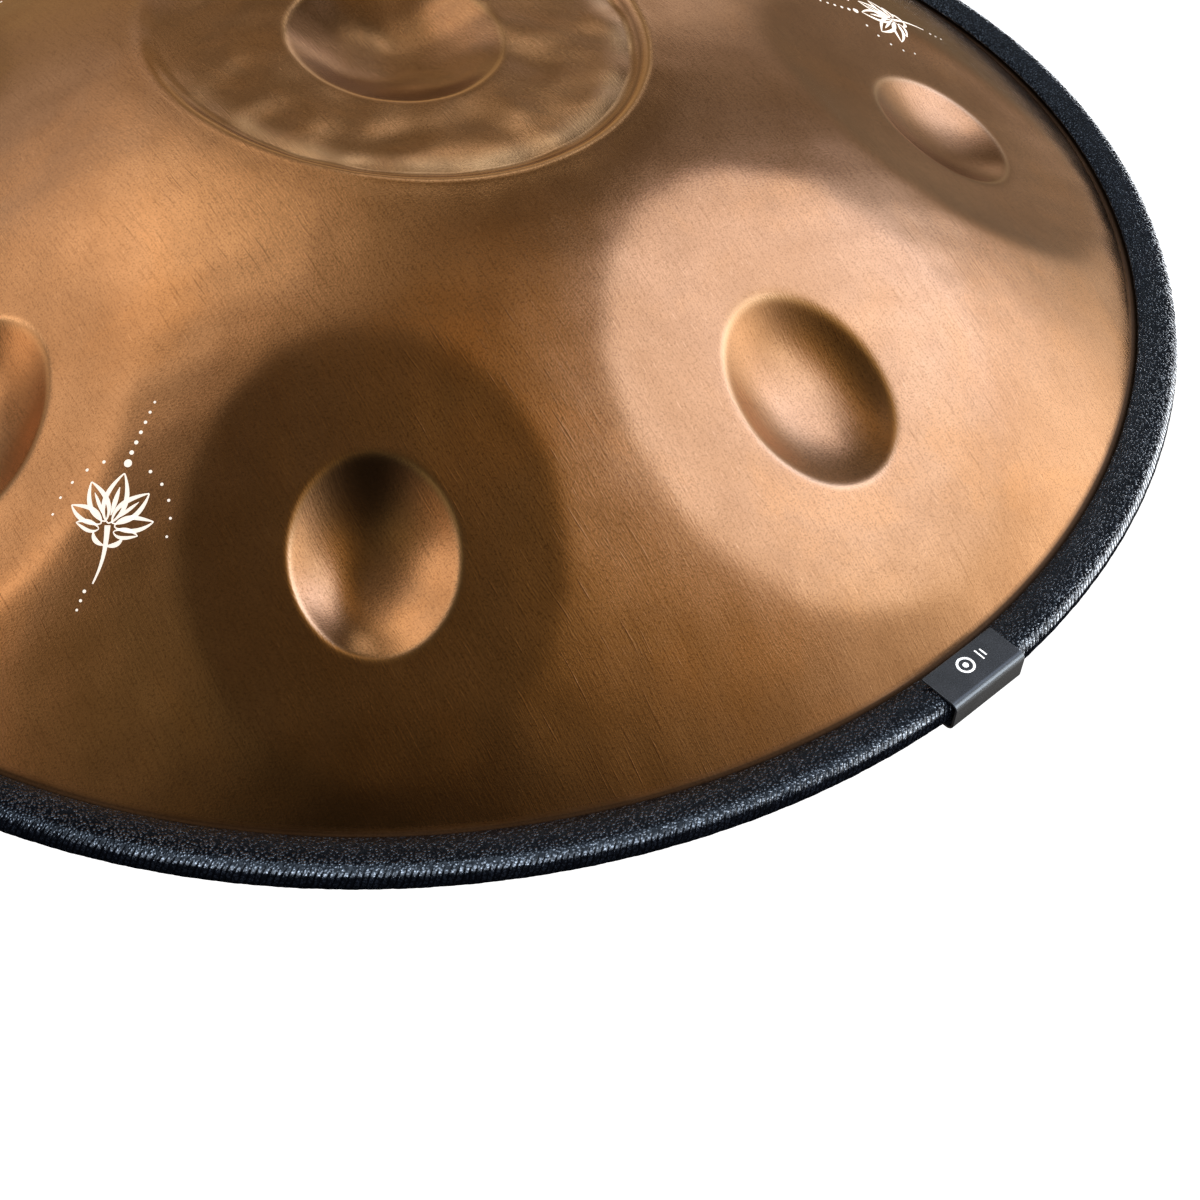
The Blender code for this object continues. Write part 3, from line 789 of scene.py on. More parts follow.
def make_clip_mark():
    """A ring, a dot and two bars, printed on the clip's upper face."""
    verts, faces = [], []
    top, low = SEAM_Z + CLIP_HALF + MARK_HALF, SEAM_Z + CLIP_HALF - MARK_HALF

    def lay(outline, z):
        verts.extend([(x, y, z) for x, y in outline])

    count = 44
    outer, hole = disc(MARK_CENTRE, MARK_RING_R, count), disc(MARK_CENTRE, MARK_HOLE_R, count)
    for outline, z in ((outer, top), (hole, top), (hole, low), (outer, low)):
        lay(outline, z)
    for i in range(count):
        m = (i + 1) % count
        for k in range(4):
            row, after = k * count, (k + 1) % 4 * count
            faces.append((row + i, row + m, after + m, after + i))
    slabs = [disc(MARK_CENTRE, MARK_DOT_R, 26)]
    for i, wide in enumerate(MARK_BARS):
        left, right = MARK_CENTRE[0] - wide / 2, MARK_CENTRE[0] + wide / 2
        y = MARK_BAR_Y + MARK_BAR_PITCH * i
        y_end = y + MARK_BAR_HEIGHT
        slabs.append(((left, y), (right, y), (right, y_end), (left, y_end)))
    for outline in slabs:
        faces += slab_faces(len(verts), len(outline))
        lay(outline, top)
        lay(outline, low)
    obj = mesh_object("clip_mark", to_joint(verts), faces, smooth_shade=False)
    fix_outward(obj)
    return obj


# ---------------------------------------------------------------- ornaments
# Leaves on each side of the middle one: root x and y, angle, length, width,
# thickness of the outline, lean and thickness of the heart. Side -1 mirrors them.
SIDE_PETALS = (
    (1.1, 0.3, 34.0, 12.8, 5.0, 1.05, 0.6, 1.0),
    (2.0, -0.5, 64.0, 11.0, 3.9, 0.95, 1.2, 0.0),
    (2.2, -2.0, 94.0, 7.0, 2.5, 0.80, -0.9, 0.0),
)
INK_RISE, INK_ROOT = 0.07, 0.05     # above and below the shell's face


def stroke(points, widths):
    """A flat ribbon along a line: left and right edges as (n, 2) arrays."""
    points = np.array(points, float)
    tangent = np.gradient(points, axis=0)
    tangent /= np.maximum(np.linalg.norm(tangent, axis=1), 1e-9)[:, None]
    normal = np.stack((-tangent[:, 1], tangent[:, 0]), -1)
    widths = np.broadcast_to(np.asarray(widths, float), (len(points),))[:, None]
    return points + normal * widths / 2, points - normal * widths / 2


def petal(root, angle, length, width, thick, lean=0.0, heart=0.0):
    """An almond leaf: two swelling outlines, and a slim solid heart if asked for."""
    sin, cos = math.sin(math.radians(angle)), math.cos(math.radians(angle))
    axis, across = np.array((sin, cos)), np.array((cos, -sin))

    def spine(share):
        bend = across * lean * math.sin(math.pi * share * 0.5) ** 2
        return np.array(root) + axis * length * share + bend

    shares = np.linspace(0.0, 1.0, 30)
    bulge = np.sin(math.pi * shares**0.80) ** 0.85 * width / 2
    swell = thick * (0.30 + 1.0 * np.sin(math.pi * np.clip(shares, 0.02, 0.98)))
    ribbons = []
    for sign in (-1, 1):
        edge = [spine(share) + across * sign * out for share, out in zip(shares, bulge)]
        ribbons.append(stroke(edge, swell))
    if heart:
        shares = np.linspace(0.16, 0.72, 16)
        part = np.clip((shares - 0.16) / 0.56, 0.04, 0.96)
        widths = heart * np.sin(math.pi * part) ** 0.8
        ribbons.append(stroke([spine(share) for share in shares], widths))
    return ribbons


def ornament_shapes():
    """A garden flower: seven leaves, a stem with two leaves, and rows of dots.

    Coordinates (x, y) in millimetres: y points up the dome and x across it.
    """
    ribbons = petal((0.0, 0.0), angle=0.0, length=14.6, width=6.2, thick=1.05, heart=1.4)
    for side in (-1, 1):
        for x, y, angle, length, width, thick, lean, heart in SIDE_PETALS:
            ribbons += petal(
                (side * x, y), side * angle, length, width, thick, lean * side, heart)
    shares = np.linspace(0.0, 1.0, 24)
    stem = [(1.5 * math.sin(share * 2.6), -0.6 - 16.5 * share) for share in shares]
    ribbons.append(stroke(stem, 1.7 * (1.0 - 0.75 * shares)))
    leaf_widths = 1.25 * np.sin(math.pi * np.clip(shares, 0.08, 0.97)) + 0.12
    for side in (-1, 1):
        leaf = [
            (0.9 + side * 4.4 * math.sin(share * 1.5), -6.2 + 3.4 * share * share)
            for share in shares
        ]
        ribbons.append(stroke(leaf, leaf_widths))
    # Dots: one over the tip, a row above it, an arc on each side, a row under the stem.
    discs = [disc((0.0, 17.6), 1.15)]
    for i in range(6):
        discs.append(disc((0.30 * i, 20.8 + 3.1 * i), 0.66 - 0.055 * i, 12))
    for side in (-1, 1):
        for i in range(5):
            angle = math.radians(24.0 + 17.0 * i)
            centre = (side * 17.4 * math.sin(angle), 17.6 * math.cos(angle) + 0.6)
            discs.append(disc(centre, 0.50 - 0.03 * i, 12))
    for i in range(3):
        discs.append(disc((-0.9 - 0.3 * i, -19.6 - 2.7 * i), 0.52 - 0.07 * i, 12))
    return ribbons, discs


def ribbon_faces(first, count):
    """Faces of a ribbon: rows of upper left, upper right, lower left, lower right."""
    high_left, high_right, low_left, low_right = (first + k * count for k in range(4))
    faces = []
    for i in range(count - 1):
        k = i + 1
        faces += [
            (high_left + i, high_right + i, high_right + k, high_left + k),
            (low_left + i, low_left + k, low_right + k, low_right + i),
            (high_left + i, high_left + k, low_left + k, low_left + i),
            (high_right + i, low_right + i, low_right + k, high_right + k),
        ]
    faces.append((high_left, low_left, low_right, high_right))
    end = count - 1
    faces.append((high_left + end, high_right + end, low_right + end, low_left + end))
    return faces


def make_ornament(name, azimuth, distance, size, turn=0.0):
    """The printed flower as thin raised ink: every stroke is a closed flat body."""
    verts, faces = [], []

    def raise_outline(flat):
        flat = np.asarray(flat) * size
        across, up_dome = turned(flat[:, 0], flat[:, 1], turn)
        plan = dome_plan(azimuth, distance, across, -up_dome)
        x, y = plan[:, 0], plan[:, 1]
        normals = top_normal(x, y)
        face = np.stack((x, y, top_height(x, y) + SEAM_Z), -1)
        return face + normals * INK_RISE, face - normals * INK_ROOT

    ribbons, discs = ornament_shapes()
    for left, right in ribbons:
        high_left, low_left = raise_outline(left)
        high_right, low_right = raise_outline(right)
        faces += ribbon_faces(len(verts), len(left))
        verts += np.concatenate((high_left, high_right, low_left, low_right)).tolist()
    for outline in discs:
        faces += slab_faces(len(verts), len(outline))
        verts += np.concatenate(raise_outline(outline)).tolist()
    obj = mesh_object(name, verts, faces, smooth_shade=False)
    fix_outward(obj)
    return obj


# ---------------------------------------------------------------- materials
class Nodes:
    """A short way to write a node tree. Textures are placed in metres."""

    def __init__(self, name):
        self.material = bpy.data.materials.new(name)
        self.material.use_nodes = True
        self.tree = self.material.node_tree

    def add(self, kind, **values):
        node = self.tree.nodes.new(kind)
        for key, value in values.items():
            setattr(node, key, value)
        return node

    def put(self, socket, value):
        if isinstance(value, bpy.types.NodeSocket):
            self.tree.links.new(value, socket)
        else:
            socket.default_value = value

    def math(self, operation, *values):
        """A Math node. One operand alone leaves 0 in the second socket."""
        node = self.add("ShaderNodeMath", operation=operation)
        for socket, value in zip(node.inputs, values if len(values) > 1 else (*values, 0.0)):
            self.put(socket, value)
        return node.outputs[0]

    def times(self, value, by):
        return self.math("MULTIPLY", value, by)

    def add_scaled(self, total, value, by):
        return self.math("ADD", total, self.times(value, by))

    def subtract_scaled(self, total, value, by):
        return self.math("SUBTRACT", total, self.times(value, by))

    def place(self):
        return self.add("ShaderNodeTexCoord").outputs["Object"]

    def dot(self, vector, axis):
        node = self.add("ShaderNodeVectorMath", operation="DOT_PRODUCT")
        self.put(node.inputs[0], vector)
        node.inputs[1].default_value = axis
        return node.outputs["Value"]

    def vector(self, x, y, z):
        node = self.add("ShaderNodeCombineXYZ")
        for socket, value in zip(node.inputs, (x, y, z)):
            self.put(socket, value)
        return node.outputs[0]

    def noise(self, vector, scale, detail=2.0, rough=0.5, distortion=0.0):
        node = self.add("ShaderNodeTexNoise")
        self.put(node.inputs["Vector"], vector)
        node.inputs["Scale"].default_value = scale
        node.inputs["Detail"].default_value = detail
        node.inputs["Roughness"].default_value = rough
        node.inputs["Distortion"].default_value = distortion
        return node.outputs["Fac"]

    def ramp(self, value, low, high, to_low=0.0, to_high=1.0, kind="SMOOTHSTEP"):
        node = self.add("ShaderNodeMapRange", interpolation_type=kind)
        self.put(node.inputs["Value"], value)
        node.inputs["From Min"].default_value = low
        node.inputs["From Max"].default_value = high
        node.inputs["To Min"].default_value = to_low
        node.inputs["To Max"].default_value = to_high
        return node.outputs[0]

    def mix(self, share, first, second, blend="MIX"):
        node = self.add("ShaderNodeMix", data_type="RGBA", blend_type=blend)
        self.put(node.inputs["Factor"], share)
        for socket, value in ((node.inputs[6], first), (node.inputs[7], second)):
            self.put(socket, (*value, 1.0) if isinstance(value, tuple) else value)
        return node.outputs[2]

    def tint(self, base, mask, strength, colour):
        """Lays a colour over base where the mask is set."""
        return self.mix(self.times(mask, strength), base, colour)

    def bump(self, height, distance, strength=1.0, below=None):
        node = self.add("ShaderNodeBump")
        node.inputs["Strength"].default_value = strength
        node.inputs["Distance"].default_value = distance
        self.put(node.inputs["Height"], height)
        if below is not None:
            self.put(node.inputs["Normal"], below)
        return node.outputs[0]

    def attribute(self, name):
        return self.add("ShaderNodeAttribute", attribute_name=name).outputs["Fac"]

    def finish(self, **values):
        shader = self.tree.nodes["Principled BSDF"]
        for key, value in values.items():
            if isinstance(value, tuple):
                value = (*value, 1.0)
            self.put(shader.inputs[key.replace("_", " ")], value)
        return self.material


def bronzed_steel(name, deep=1.0, shift=0.0):
    """Bronze-tinted steel: brushed one way, clouded by the heat tint, with painted highlights at
    the folds, painted glints, a painted reflection and painted shade.
    """
    mat = Nodes(name)
    moved = mat.add("ShaderNodeVectorMath", operation="ADD")
    mat.put(moved.inputs[0], mat.place())
    moved.inputs[1].default_value = (shift, shift * 0.7, 0.0)
    place = moved.outputs[0]
    along = mat.dot(place, (math.cos(GRAIN), math.sin(GRAIN), 0.0))
    across = mat.dot(place, (-math.sin(GRAIN), math.cos(GRAIN), 0.0))
    across = mat.add_scaled(across, mat.noise(place, scale=24.0), by=0.004)

    def streaks(length, width, layer, detail, rough=0.55):
        """Noise drawn out along the brushing: sizes in millimetres."""
        stretched = mat.vector(
            mat.times(along, 1000.0 / length), mat.times(across, 1000.0 / width), layer)
        return mat.noise(stretched, 1.0, detail, rough)

    hair = streaks(length=12.0, width=0.80, layer=0.0, detail=3.0, rough=0.66)
    fine = streaks(length=2.6, width=0.50, layer=3.0, detail=2.0, rough=0.6)
    lines = streaks(length=20.0, width=0.9, layer=7.0, detail=1.0)
    glint = streaks(length=4.0, width=0.60, layer=11.0, detail=1.0)
    grit = mat.noise(place, scale=1500.0, detail=2.0, rough=0.65)
    patchy = mat.ramp(mat.noise(place, scale=10.0, detail=3.0), low=0.40, high=0.64)
    scratch = mat.times(mat.ramp(lines, low=0.63, high=0.76), patchy)
    sparkle = mat.ramp(glint, low=0.60, high=0.80)

    cloud = mat.noise(place, scale=11.0, detail=4.0, rough=0.55, distortion=0.4)
    small = mat.noise(place, scale=46.0, detail=3.0, rough=0.6, distortion=0.6)
    fold_highlight, mottle, groove_shade = (mat.attribute(key) for key in ("fold_highlight", "mottle", "groove_shade"))
    base = mat.mix(
        mat.ramp(cloud, low=0.32, high=0.68), (0.500, 0.297, 0.168), (0.618, 0.389, 0.238))
    mask = mat.ramp(small, low=0.42, high=0.70)
    base = mat.tint(base, mask, strength=0.22, colour=(0.450, 0.270, 0.160))
    stain = mat.noise(place, scale=17.0, detail=4.0, rough=0.6, distortion=0.5)
    mask = mat.ramp(stain, low=0.50, high=0.66)
    base = mat.tint(base, mask, strength=0.26, colour=(0.680, 0.370, 0.170))
    blotch = mat.noise(place, scale=30.0, detail=4.0, rough=0.62, distortion=0.8)
    blotch = mat.ramp(blotch, low=0.44, high=0.62)
    base = mat.tint(base, mottle, strength=0.42, colour=(0.340, 0.222, 0.148))
    strength = mat.times(blotch, by=0.30)
    base = mat.tint(base, mottle, strength, colour=(0.300, 0.205, 0.145))
    base = mat.tint(base, scratch, strength=0.30, colour=(0.260, 0.135, 0.065))
    mask = mat.ramp(hair, low=0.50, high=0.70)
    base = mat.tint(base, mask, strength=0.28, colour=(0.330, 0.175, 0.090))
    mask = mat.ramp(grit, low=0.50, high=0.68)
    base = mat.tint(base, mask, strength=0.42, colour=(0.270, 0.145, 0.075))
    # Painted glints: pale streaks along the brushing.
    base = mat.tint(base, sparkle, strength=0.20, colour=(0.900, 0.630, 0.420))
    # Painted reflection: the pale crescent inside the ding's near border.
    crescent_sheen = mat.attribute("crescent_sheen")
    base = mat.tint(base, crescent_sheen, strength=0.70, colour=(0.780, 0.600, 0.460))
    # Painted highlight: the pale line along the folds.
    base = mat.tint(base, fold_highlight, strength=0.62, colour=(0.900, 0.640, 0.430))
    # Painted shade: near black in the foot groove and the thin line inside the ding's border.
    base = mat.tint(base, groove_shade, strength=0.93, colour=(0.020, 0.014, 0.010))
    if deep != 1.0:
        base = mat.mix(1.0, base, (deep, deep * 0.98, deep * 0.96), "MULTIPLY")

    rough = mat.add_scaled(total=0.150, value=mat.ramp(cloud, low=0.3, high=0.7), by=0.04)
    rough = mat.add_scaled(rough, mat.ramp(small, low=0.4, high=0.7), by=0.03)
    rough = mat.add_scaled(rough, fine, by=0.06)
    rough = mat.add_scaled(rough, groove_shade, by=0.35)
    rough = mat.subtract_scaled(rough, fold_highlight, by=0.05)
    bump = mat.bump(hair, distance=0.000060, strength=0.7)
    bump = mat.bump(fine, distance=0.000050, strength=0.8, below=bump)
    bump = mat.bump(scratch, distance=0.000040, strength=0.6, below=bump)
    bump = mat.bump(grit, distance=0.000040, strength=0.9, below=bump)
    return mat.finish(Base_Color=base, Metallic=1.0, Roughness=rough, Normal=bump)


def grained_vinyl():
    """Black pebble-grained strip. Its outer edge is gathered in fine ribs."""
    mat = Nodes("grained_vinyl")
    place = mat.place()
    gather = mat.attribute("gather")
    bent = mat.noise(place, scale=700.0, rough=0.6)
    moved = mat.add("ShaderNodeVectorMath", operation="MULTIPLY_ADD")
    sideways = mat.noise(place, scale=650.0, rough=0.6)
    mat.put(moved.inputs[0], mat.vector(bent, sideways, bent))
    moved.inputs[1].default_value = (0.0006, 0.0006, 0.0006)
    mat.put(moved.inputs[2], place)
    cells = mat.add("ShaderNodeTexVoronoi", feature="F1")
    mat.put(cells.inputs["Vector"], moved.outputs[0])
    cells.inputs["Scale"].default_value = 1150.0
    pebble = mat.ramp(cells.outputs["Distance"], low=0.08, high=0.62, to_low=1.0, to_high=0.0)
    # The product turns each cell's colour into one number.
    each = mat.times(cells.outputs["Color"], by=1.0)
    bright = mat.ramp(each, low=0.40, high=0.72)
    soft = mat.noise(place, scale=2600.0, rough=0.6)
    broad = mat.noise(place, scale=60.0, detail=3.0, rough=0.55)
    split = mat.add("ShaderNodeSeparateXYZ")
    mat.put(split.inputs[0], mat.add("ShaderNodeUVMap", uv_map="around").outputs[0])
    around, over = split.outputs[0], split.outputs[1]
    # Ribs: narrow grooves 1.9 mm apart that lean a little and wander, darkened with painted shade.
    sway = mat.vector(mat.times(around, by=90.0), mat.times(over, by=60.0), 0.0)
    sway = mat.noise(sway, scale=1.0)
    turn = mat.math("ADD", mat.times(around, by=525.0), mat.times(over, by=190.0))
    turn = mat.add_scaled(turn, sway, by=1.6)
    from_middle = mat.math("ABSOLUTE", mat.math("SUBTRACT", mat.math("FRACT", turn), 0.5))
    ribs = mat.times(mat.ramp(from_middle, low=0.29, high=0.45), gather)
    tone = mat.mix(
        mat.ramp(broad, low=0.35, high=0.65), (0.011, 0.013, 0.018), (0.018, 0.021, 0.029))
    # Painted shade: the gaps between the pebbles darkened to near black.
    between = mat.ramp(pebble, low=0.0, high=0.45, to_low=0.8, to_high=0.0)
    tone = mat.mix(between, tone, (0.002, 0.002, 0.003))
    # Painted shade: the rib grooves darkened to near black.
    tone = mat.tint(tone, ribs, strength=0.9, colour=(0.002, 0.002, 0.003))
    rough = mat.add_scaled(total=0.16, value=soft, by=0.18)
    rough = mat.add_scaled(rough, bright, by=-0.05)
    rough = mat.subtract_scaled(rough, gather, by=0.05)
    shine = mat.times(
        mat.ramp(pebble, low=0.05, high=0.60, to_low=0.28, to_high=1.0),
        mat.add_scaled(total=0.42, value=bright, by=0.40),
    )
    # Painted shade: the rib grooves also lose most of their shine.
    shine = mat.times(shine, mat.subtract_scaled(total=1.0, value=ribs, by=0.94))
    flat = mat.ramp(gather, low=0.0, high=1.0, to_low=1.0, to_high=0.10, kind="LINEAR")
    bump = mat.bump(mat.times(pebble, flat), distance=0.00016)
    bump = mat.bump(soft, distance=0.00004, strength=0.7, below=bump)
    bump = mat.bump(ribs, distance=-0.00014, strength=0.9, below=bump)
    return mat.finish(
        Base_Color=tone, Roughness=rough, Normal=bump, IOR=2.3,
        Specular_IOR_Level=shine, Specular_Tint=(0.86, 0.93, 1.0),
    )


def coated_steel():
    """Black coated sheet, lightly textured, with a paler bend and edges: worn, and lightened as a
    painted highlight.
    """
    mat = Nodes("coated_steel")
    place = mat.place()
    peel = mat.noise(place, scale=1500.0, rough=0.6)
    fleck = mat.noise(place, scale=3000.0, detail=1.0)
    broad = mat.noise(place, scale=160.0, detail=3.0, rough=0.6)
    pointed = mat.add("ShaderNodeNewGeometry").outputs["Pointiness"]
    edge = mat.ramp(pointed, low=0.53, high=0.60)
    worn_edge_and_sheen = mat.times(edge, mat.ramp(broad, low=0.40, high=0.60))
    tone = mat.mix(
        mat.ramp(broad, low=0.35, high=0.7), (0.012, 0.012, 0.014), (0.020, 0.020, 0.023))
    mask = mat.ramp(fleck, low=0.55, high=0.70)
    tone = mat.tint(tone, mask, strength=0.5, colour=(0.060, 0.062, 0.068))
    # Worn, and a painted highlight: the bend and edges are lightened.
    tone = mat.tint(tone, worn_edge_and_sheen, strength=0.45, colour=(0.20, 0.20, 0.21))
    rough = mat.add_scaled(total=0.22, value=peel, by=0.14)
    bump = mat.bump(peel, distance=0.000030, strength=0.8)
    return mat.finish(
        Base_Color=tone, Roughness=rough, Normal=bump, IOR=1.75,
        Specular_IOR_Level=0.6, Specular_Tint=(0.80, 0.90, 1.0),
    )


def printed_ink_glow():
    mat = Nodes("printed_ink_glow")
    worn = mat.noise(mat.place(), scale=700.0, detail=3.0, rough=0.6)
    tone = mat.mix(mat.ramp(worn, low=0.42, high=0.66), (0.93, 0.92, 0.90), (0.82, 0.80, 0.76))
    rough = mat.add_scaled(total=0.40, value=worn, by=0.2)
    bump = mat.bump(worn, distance=0.00002, strength=0.4)
    # Painted light: the ink glows faintly so it reads brighter, though it is no lamp.
    return mat.finish(
        Base_Color=tone, Roughness=rough, Normal=bump,
        Emission_Color=(1.0, 0.98, 0.95), Emission_Strength=0.62,
    )


def clip_print_glow():
    mat = Nodes("clip_print_glow")
    worn = mat.noise(mat.place(), scale=1600.0, detail=3.0, rough=0.6)
    tone = mat.mix(mat.ramp(worn, low=0.40, high=0.70), (0.86, 0.86, 0.86), (0.66, 0.66, 0.66))
    bump = mat.bump(worn, distance=0.00001, strength=0.4)
    # Painted light: the print glows faintly, though it is no lamp.
    return mat.finish(
        Base_Color=tone, Roughness=0.5, Normal=bump, Emission_Color=tone, Emission_Strength=0.35)


def carrier_steel():
    mat = Nodes("carrier_steel")
    place = mat.place()
    streak = mat.noise(place, scale=420.0, detail=3.0, rough=0.6)
    spot = mat.noise(place, scale=90.0, detail=4.0, rough=0.6)
    tone = mat.mix(mat.ramp(spot, low=0.35, high=0.7), (0.36, 0.36, 0.37), (0.52, 0.51, 0.50))
    rough = mat.add_scaled(total=0.32, value=streak, by=0.2)
    bump = mat.bump(streak, distance=0.00002, strength=0.5)
    return mat.finish(Base_Color=tone, Roughness=rough, Metallic=1.0, Normal=bump)


def cured_adhesive():
    mat = Nodes("cured_adhesive")
    bead = mat.noise(mat.place(), scale=260.0, detail=3.0, rough=0.55)
    tone = mat.mix(
        mat.ramp(bead, low=0.35, high=0.7), (0.035, 0.034, 0.032), (0.07, 0.066, 0.06))
    rough = mat.add_scaled(total=0.35, value=bead, by=0.3)
    bump = mat.bump(bead, distance=0.0001, strength=0.6)
    return mat.finish(Base_Color=tone, Roughness=rough, Normal=bump)


def dress(obj, material):
    obj.data.materials.clear()
    obj.data.materials.append(material)
    return obj


# ------------------------------------------------------------------ assembly
bronze = bronzed_steel("bronzed_steel")
# A darker copy for the bottom shell: its colour is multiplied by 0.94 and its patterns are shifted.
bronze_lower = bronzed_steel("bronzed_steel_lower", deep=0.94, shift=0.37)

top = dress(make_top_shell(), bronze)
bottom = dress(make_bottom_shell(), bronze_lower)
trim = dress(make_edge_trim(), grained_vinyl())
clip = dress(make_trim_clip(), coated_steel())
mark = dress(make_clip_mark(), clip_print_glow())
white = printed_ink_glow()
ornaments = [
    dress(make_ornament(name, azimuth, distance, size, turn), white)
    for name, azimuth, distance, size, turn in (
        ("ornament_front_left", -28.2, 207.0, 1.10, 5.0),
        ("ornament_back_right", 107.3, 205.0, 1.12, 0.0),
        ("ornament_back_left", -118.0, 205.0, 1.12, 0.0),
    )
]
for piece, slot in (
    (top, "bronzed_steel"),
    (bottom, "bronzed_steel"),
    (trim, "grained_vinyl"),
    (clip, "coated_steel"),
):
    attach(piece, "root")
for piece in [mark] + ornaments:
    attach(piece, "root")
# The carrier strip and the adhesive keep the frame's meshes.
for node, material in (("trim_core", carrier_steel()), ("seam_adhesive", cured_adhesive())):
    obj = frame["nodes"][node]
    if not obj.material_slots:
        obj.data.materials.append(None)
    for held in obj.material_slots:
        held.material = material

# --------------------------------------------------------------------- stage
FLOOR_HALF, FLOOR_Z = 9, -0.0004        # metres
STAGE_CENTRE = Vector((0.0, 0.0, (SEAM_Z + 60) * MM))


def floor_material():
    """White to the camera, dark to the pan, and clear from below."""
    mat = Nodes("pale_floor")
    path = mat.add("ShaderNodeLightPath")
    paper = mat.noise(mat.place(), scale=40.0)
    return mat.finish(
        Base_Color=mat.mix(
            mat.ramp(paper, low=0.3, high=0.7), (0.050, 0.050, 0.050), (0.056, 0.056, 0.056)),
        Roughness=0.9,
        Specular_IOR_Level=0.0,
        Emission_Color=(1.0, 1.0, 1.0),
        Emission_Strength=path.outputs["Is Camera Ray"],
        Alpha=mat.math(
            "SUBTRACT", 1.0, mat.add("ShaderNodeNewGeometry").outputs["Backfacing"]),
    )


def make_floor():
    mesh = bpy.data.meshes.new("floor")
    corners = [(-1, -1), (1, -1), (1, 1), (-1, 1)]
    verts = [(x * FLOOR_HALF, y * FLOOR_HALF, FLOOR_Z) for x, y in corners]
    mesh.from_pydata(verts, [], [(0, 1, 2, 3)])
    obj = link(bpy.data.objects.new("floor", mesh))
    return dress(obj, floor_material())


# The studio round the pan is a dome of cloth, lit in soft patches. Each patch has a
# direction from the pan's middle, a tightness and a colour.
PATCHES = (
    ((0.62, 0.02, 0.79), 30.6, (0.815, 0.957, 1.258)),
    ((-0.53, 0.35, 0.77), 17.9, (1.025, 0.861, 0.678)),
    ((1.00, -0.03, -0.02), 6.4, (1.599, 1.487, 1.316)),
    ((0.15, 0.12, 0.98), 43.2, (0.149, 0.093, 0.033)),
    ((-0.13, 0.99, 0.00), 4.6, (0.382, 0.286, 0.155)),
    ((-0.81, 0.01, 0.58), 59.9, (0.954, 0.792, 0.612)),
    ((0.82, 0.30, 0.49), 42.2, (0.956, 1.104, 1.528)),
    ((0.50, -0.20, 0.84), 8.3, (0.391, 0.276, 0.109)),
    ((-0.55, 0.67, 0.50), 26.2, (0.243, 0.247, 0.276)),
    ((0.08, 0.67, 0.74), 117.4, (0.975, 0.921, 0.764)),
    ((0.34, 0.88, 0.32), 50.0, (0.502, 0.495, 0.517)),
    ((0.60, 0.31, 0.74), 80.3, (0.731, 0.746, 0.881)),
    ((-0.98, -0.13, -0.13), 8.7, (1.218, 0.885, 0.577)),
    ((-0.28, 0.47, 0.84), 33.6, (0.226, 0.189, 0.110)),
    ((-0.57, -0.41, 0.71), 24.3, (0.149, 0.124, 0.064)),
    ((0.78, -0.15, 0.61), 131.6, (0.504, 0.561, 0.600)),
)
AMBIENT = (0.006, 0.005, 0.004)
TENT_R, TENT_GAIN = 2.26, 1.22      # metres, brightness


def tent_material():
    """Glow that sums the patches over the ambient colour."""
    mat = Nodes("studio_tent")
    mat.tree.nodes.clear()
    output = mat.add("ShaderNodeOutputMaterial")
    glow = mat.add("ShaderNodeEmission")
    mat.put(output.inputs["Surface"], glow.outputs[0])
    place = mat.place()
    unit = mat.add("ShaderNodeVectorMath", operation="NORMALIZE")
    mat.put(unit.inputs[0], place)
    total = AMBIENT
    for axis, tight, colour in PATCHES:
        cosine = mat.dot(unit.outputs[0], Vector(axis).normalized())
        fall = mat.math("MULTIPLY_ADD", cosine, tight, -tight)
        power = mat.add("ShaderNodeMath", operation="EXPONENT")
        mat.put(power.inputs[0], fall)
        patch = mat.add("ShaderNodeVectorMath", operation="MULTIPLY_ADD")
        mat.put(patch.inputs[0], power.outputs[0])
        patch.inputs[1].default_value = Vector(colour) * TENT_GAIN
        mat.put(patch.inputs[2], total)
        total = patch.outputs[0]
    mat.put(glow.inputs["Color"], total)
    return mat.material


def make_tent():
    body = bmesh.new()
    bmesh.ops.create_icosphere(body, subdivisions=4, radius=TENT_R)
    bmesh.ops.reverse_faces(body, faces=body.faces)
    mesh = bpy.data.meshes.new("studio_tent")
    body.to_mesh(mesh)
    body.free()
    obj = link(bpy.data.objects.new("studio_tent", mesh))
    obj.location = STAGE_CENTRE
    mesh.materials.append(tent_material())
    obj.visible_camera = False
    obj.visible_shadow = False
    return obj


# Cards that only the black edge and its clip see: name, zenith and azimuth in degrees,
# distance, width and height in metres, radiance, colour.
EDGE_CARDS = (
    ("edge_card_far", 106.0, 142.0, 1.6, 1.15, 1.0, 6.5, (0.97, 0.98, 1.0)),
    ("edge_card_right", 97.0, 92.0, 1.6, 1.05, 0.85, 7.0, (0.97, 0.98, 1.0)),
    ("edge_card_near", 70.0, 60.0, 1.6, 0.8, 0.8, 5.0, (0.93, 0.96, 1.0)),
    ("edge_card_front", 58.0, -6.0, 1.7, 2.2, 0.60, 3.6, (0.84, 0.90, 1.0)),
    ("edge_card_over", 22.0, 0.0, 1.7, 2.6, 2.2, 1.45, (0.76, 0.87, 1.0)),
    ("edge_card_side", 48.0, 140.0, 1.8, 2.0, 1.5, 0.22, (0.84, 0.91, 1.0)),
    ("edge_card_back", 62.0, 175.0, 1.8, 1.4, 0.6, 0.30, (0.84, 0.92, 1.0)),
)


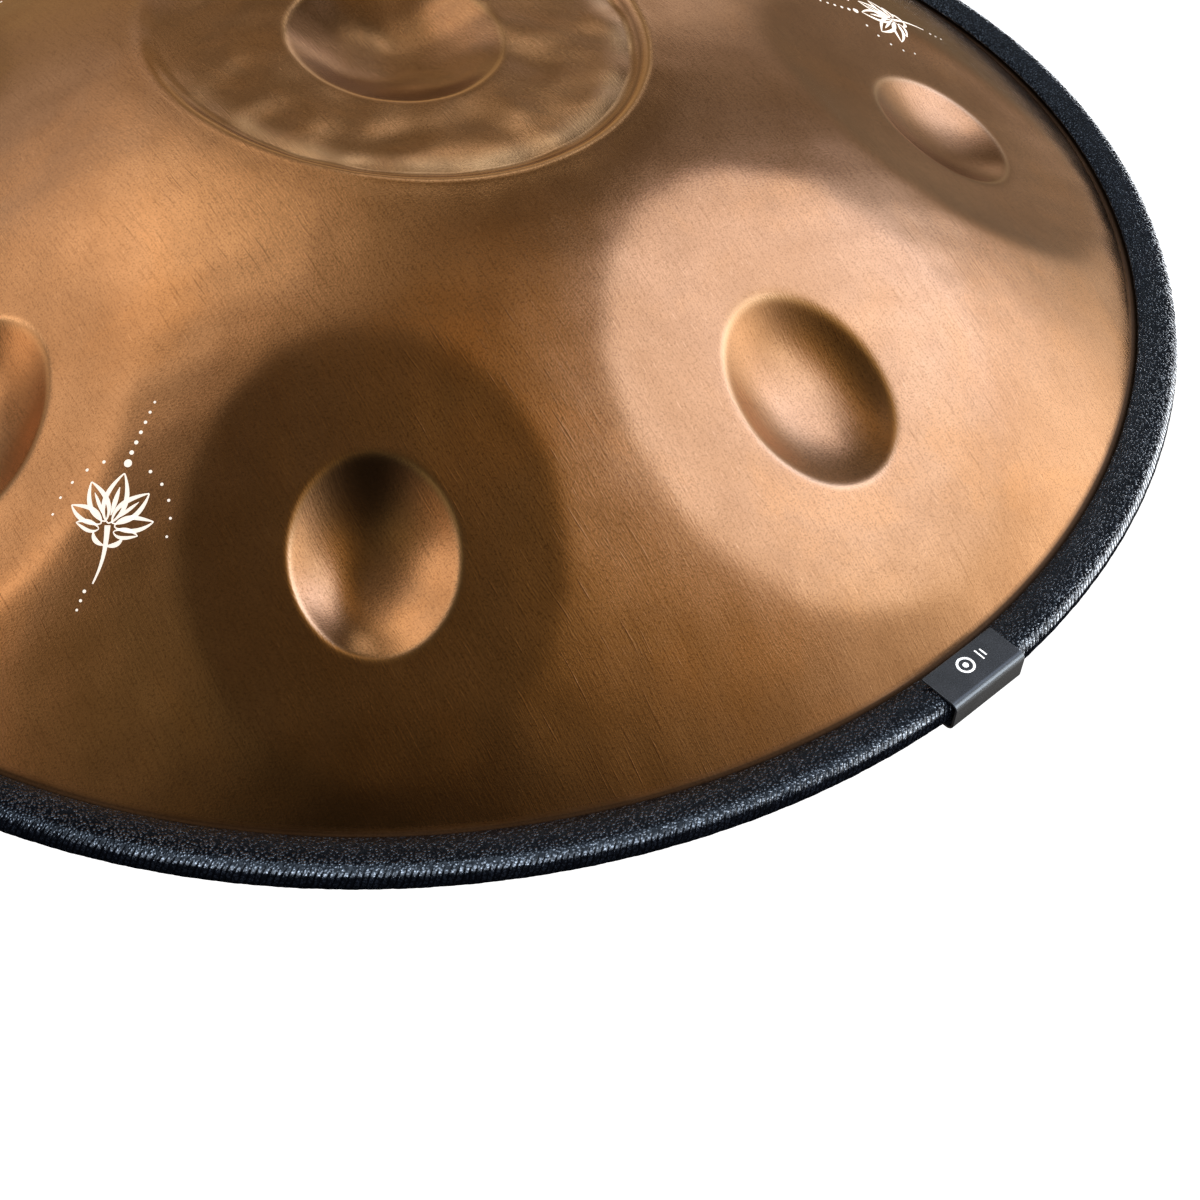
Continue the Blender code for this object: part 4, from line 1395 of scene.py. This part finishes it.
def softbox(name, zenith, azimuth, distance, width, height, radiance, colour):
    """A rectangular light seen from the pan's middle in a given direction."""
    lamp = bpy.data.lights.new(name, "AREA")
    lamp.shape = "RECTANGLE"
    lamp.size, lamp.size_y = width, height
    lamp.energy = radiance * math.pi * width * height
    lamp.color = colour
    obj = link(bpy.data.objects.new(name, lamp))
    obj.visible_camera = False
    zenith, azimuth = math.radians(zenith), math.radians(azimuth)
    x, y = math.sin(zenith) * math.sin(azimuth), -math.sin(zenith) * math.cos(azimuth)
    obj.location = STAGE_CENTRE + Vector((x, y, math.cos(zenith))) * distance
    obj.rotation_mode = "QUATERNION"
    obj.rotation_quaternion = (STAGE_CENTRE - obj.location).to_track_quat("-Z", "Y")
    return obj


floor = make_floor()
tent = make_tent()
edge_parts = bpy.data.collections.new("edge_parts")
for piece in (trim, clip, mark):
    edge_parts.objects.link(piece)
for card in EDGE_CARDS:
    softbox(*card).light_linking.receiver_collection = edge_parts
# The cloth lights everything but the black strip.
cloth_parts = bpy.data.collections.new("cloth_parts")
for piece in bpy.context.scene.objects:
    if piece.type == "MESH" and piece not in (trim, tent):
        cloth_parts.objects.link(piece)
tent.light_linking.receiver_collection = cloth_parts
floor.visible_glossy = False
floor.visible_shadow = False

# The world is white to the camera and gives no light.
scene = bpy.context.scene
world = bpy.data.worlds.new("studio")
scene.world = world
world.use_nodes = True
back = world.node_tree.nodes["Background"]
back.inputs["Color"].default_value = (1.0, 1.0, 1.0, 1.0)
path = world.node_tree.nodes.new("ShaderNodeLightPath")
world.node_tree.links.new(path.outputs["Is Camera Ray"], back.inputs["Strength"])

scene.view_settings.view_transform = "Standard"
scene.view_settings.look = "None"
scene.view_settings.exposure = 0.19
scene.view_settings.gamma = 0.87

# -------------------------------------------------------------------- camera
# Place in metres, and the directions of the view's right, up and forward.
CAMERA_PLACE = (0.0, -0.56225724, 0.44223577 + SEAM_Z * MM)
CAMERA_RIGHT = Vector((0.99309829, -0.11647891, 0.01372754))
CAMERA_UP = Vector((0.07991499, 0.75768934, 0.64770399))
CAMERA_FORWARD = Vector((0.08584507, 0.64213669, -0.7617684))

lens = bpy.data.cameras.new("camera")
lens.sensor_width = 36.0
lens.lens = 54.04
lens.clip_start, lens.clip_end = 0.02, 60.0
camera = link(bpy.data.objects.new("camera", lens))
spin = Matrix((CAMERA_RIGHT, CAMERA_UP, -CAMERA_FORWARD)).transposed().to_4x4()
camera.matrix_world = Matrix.Translation(CAMERA_PLACE) @ spin
scene.camera = camera
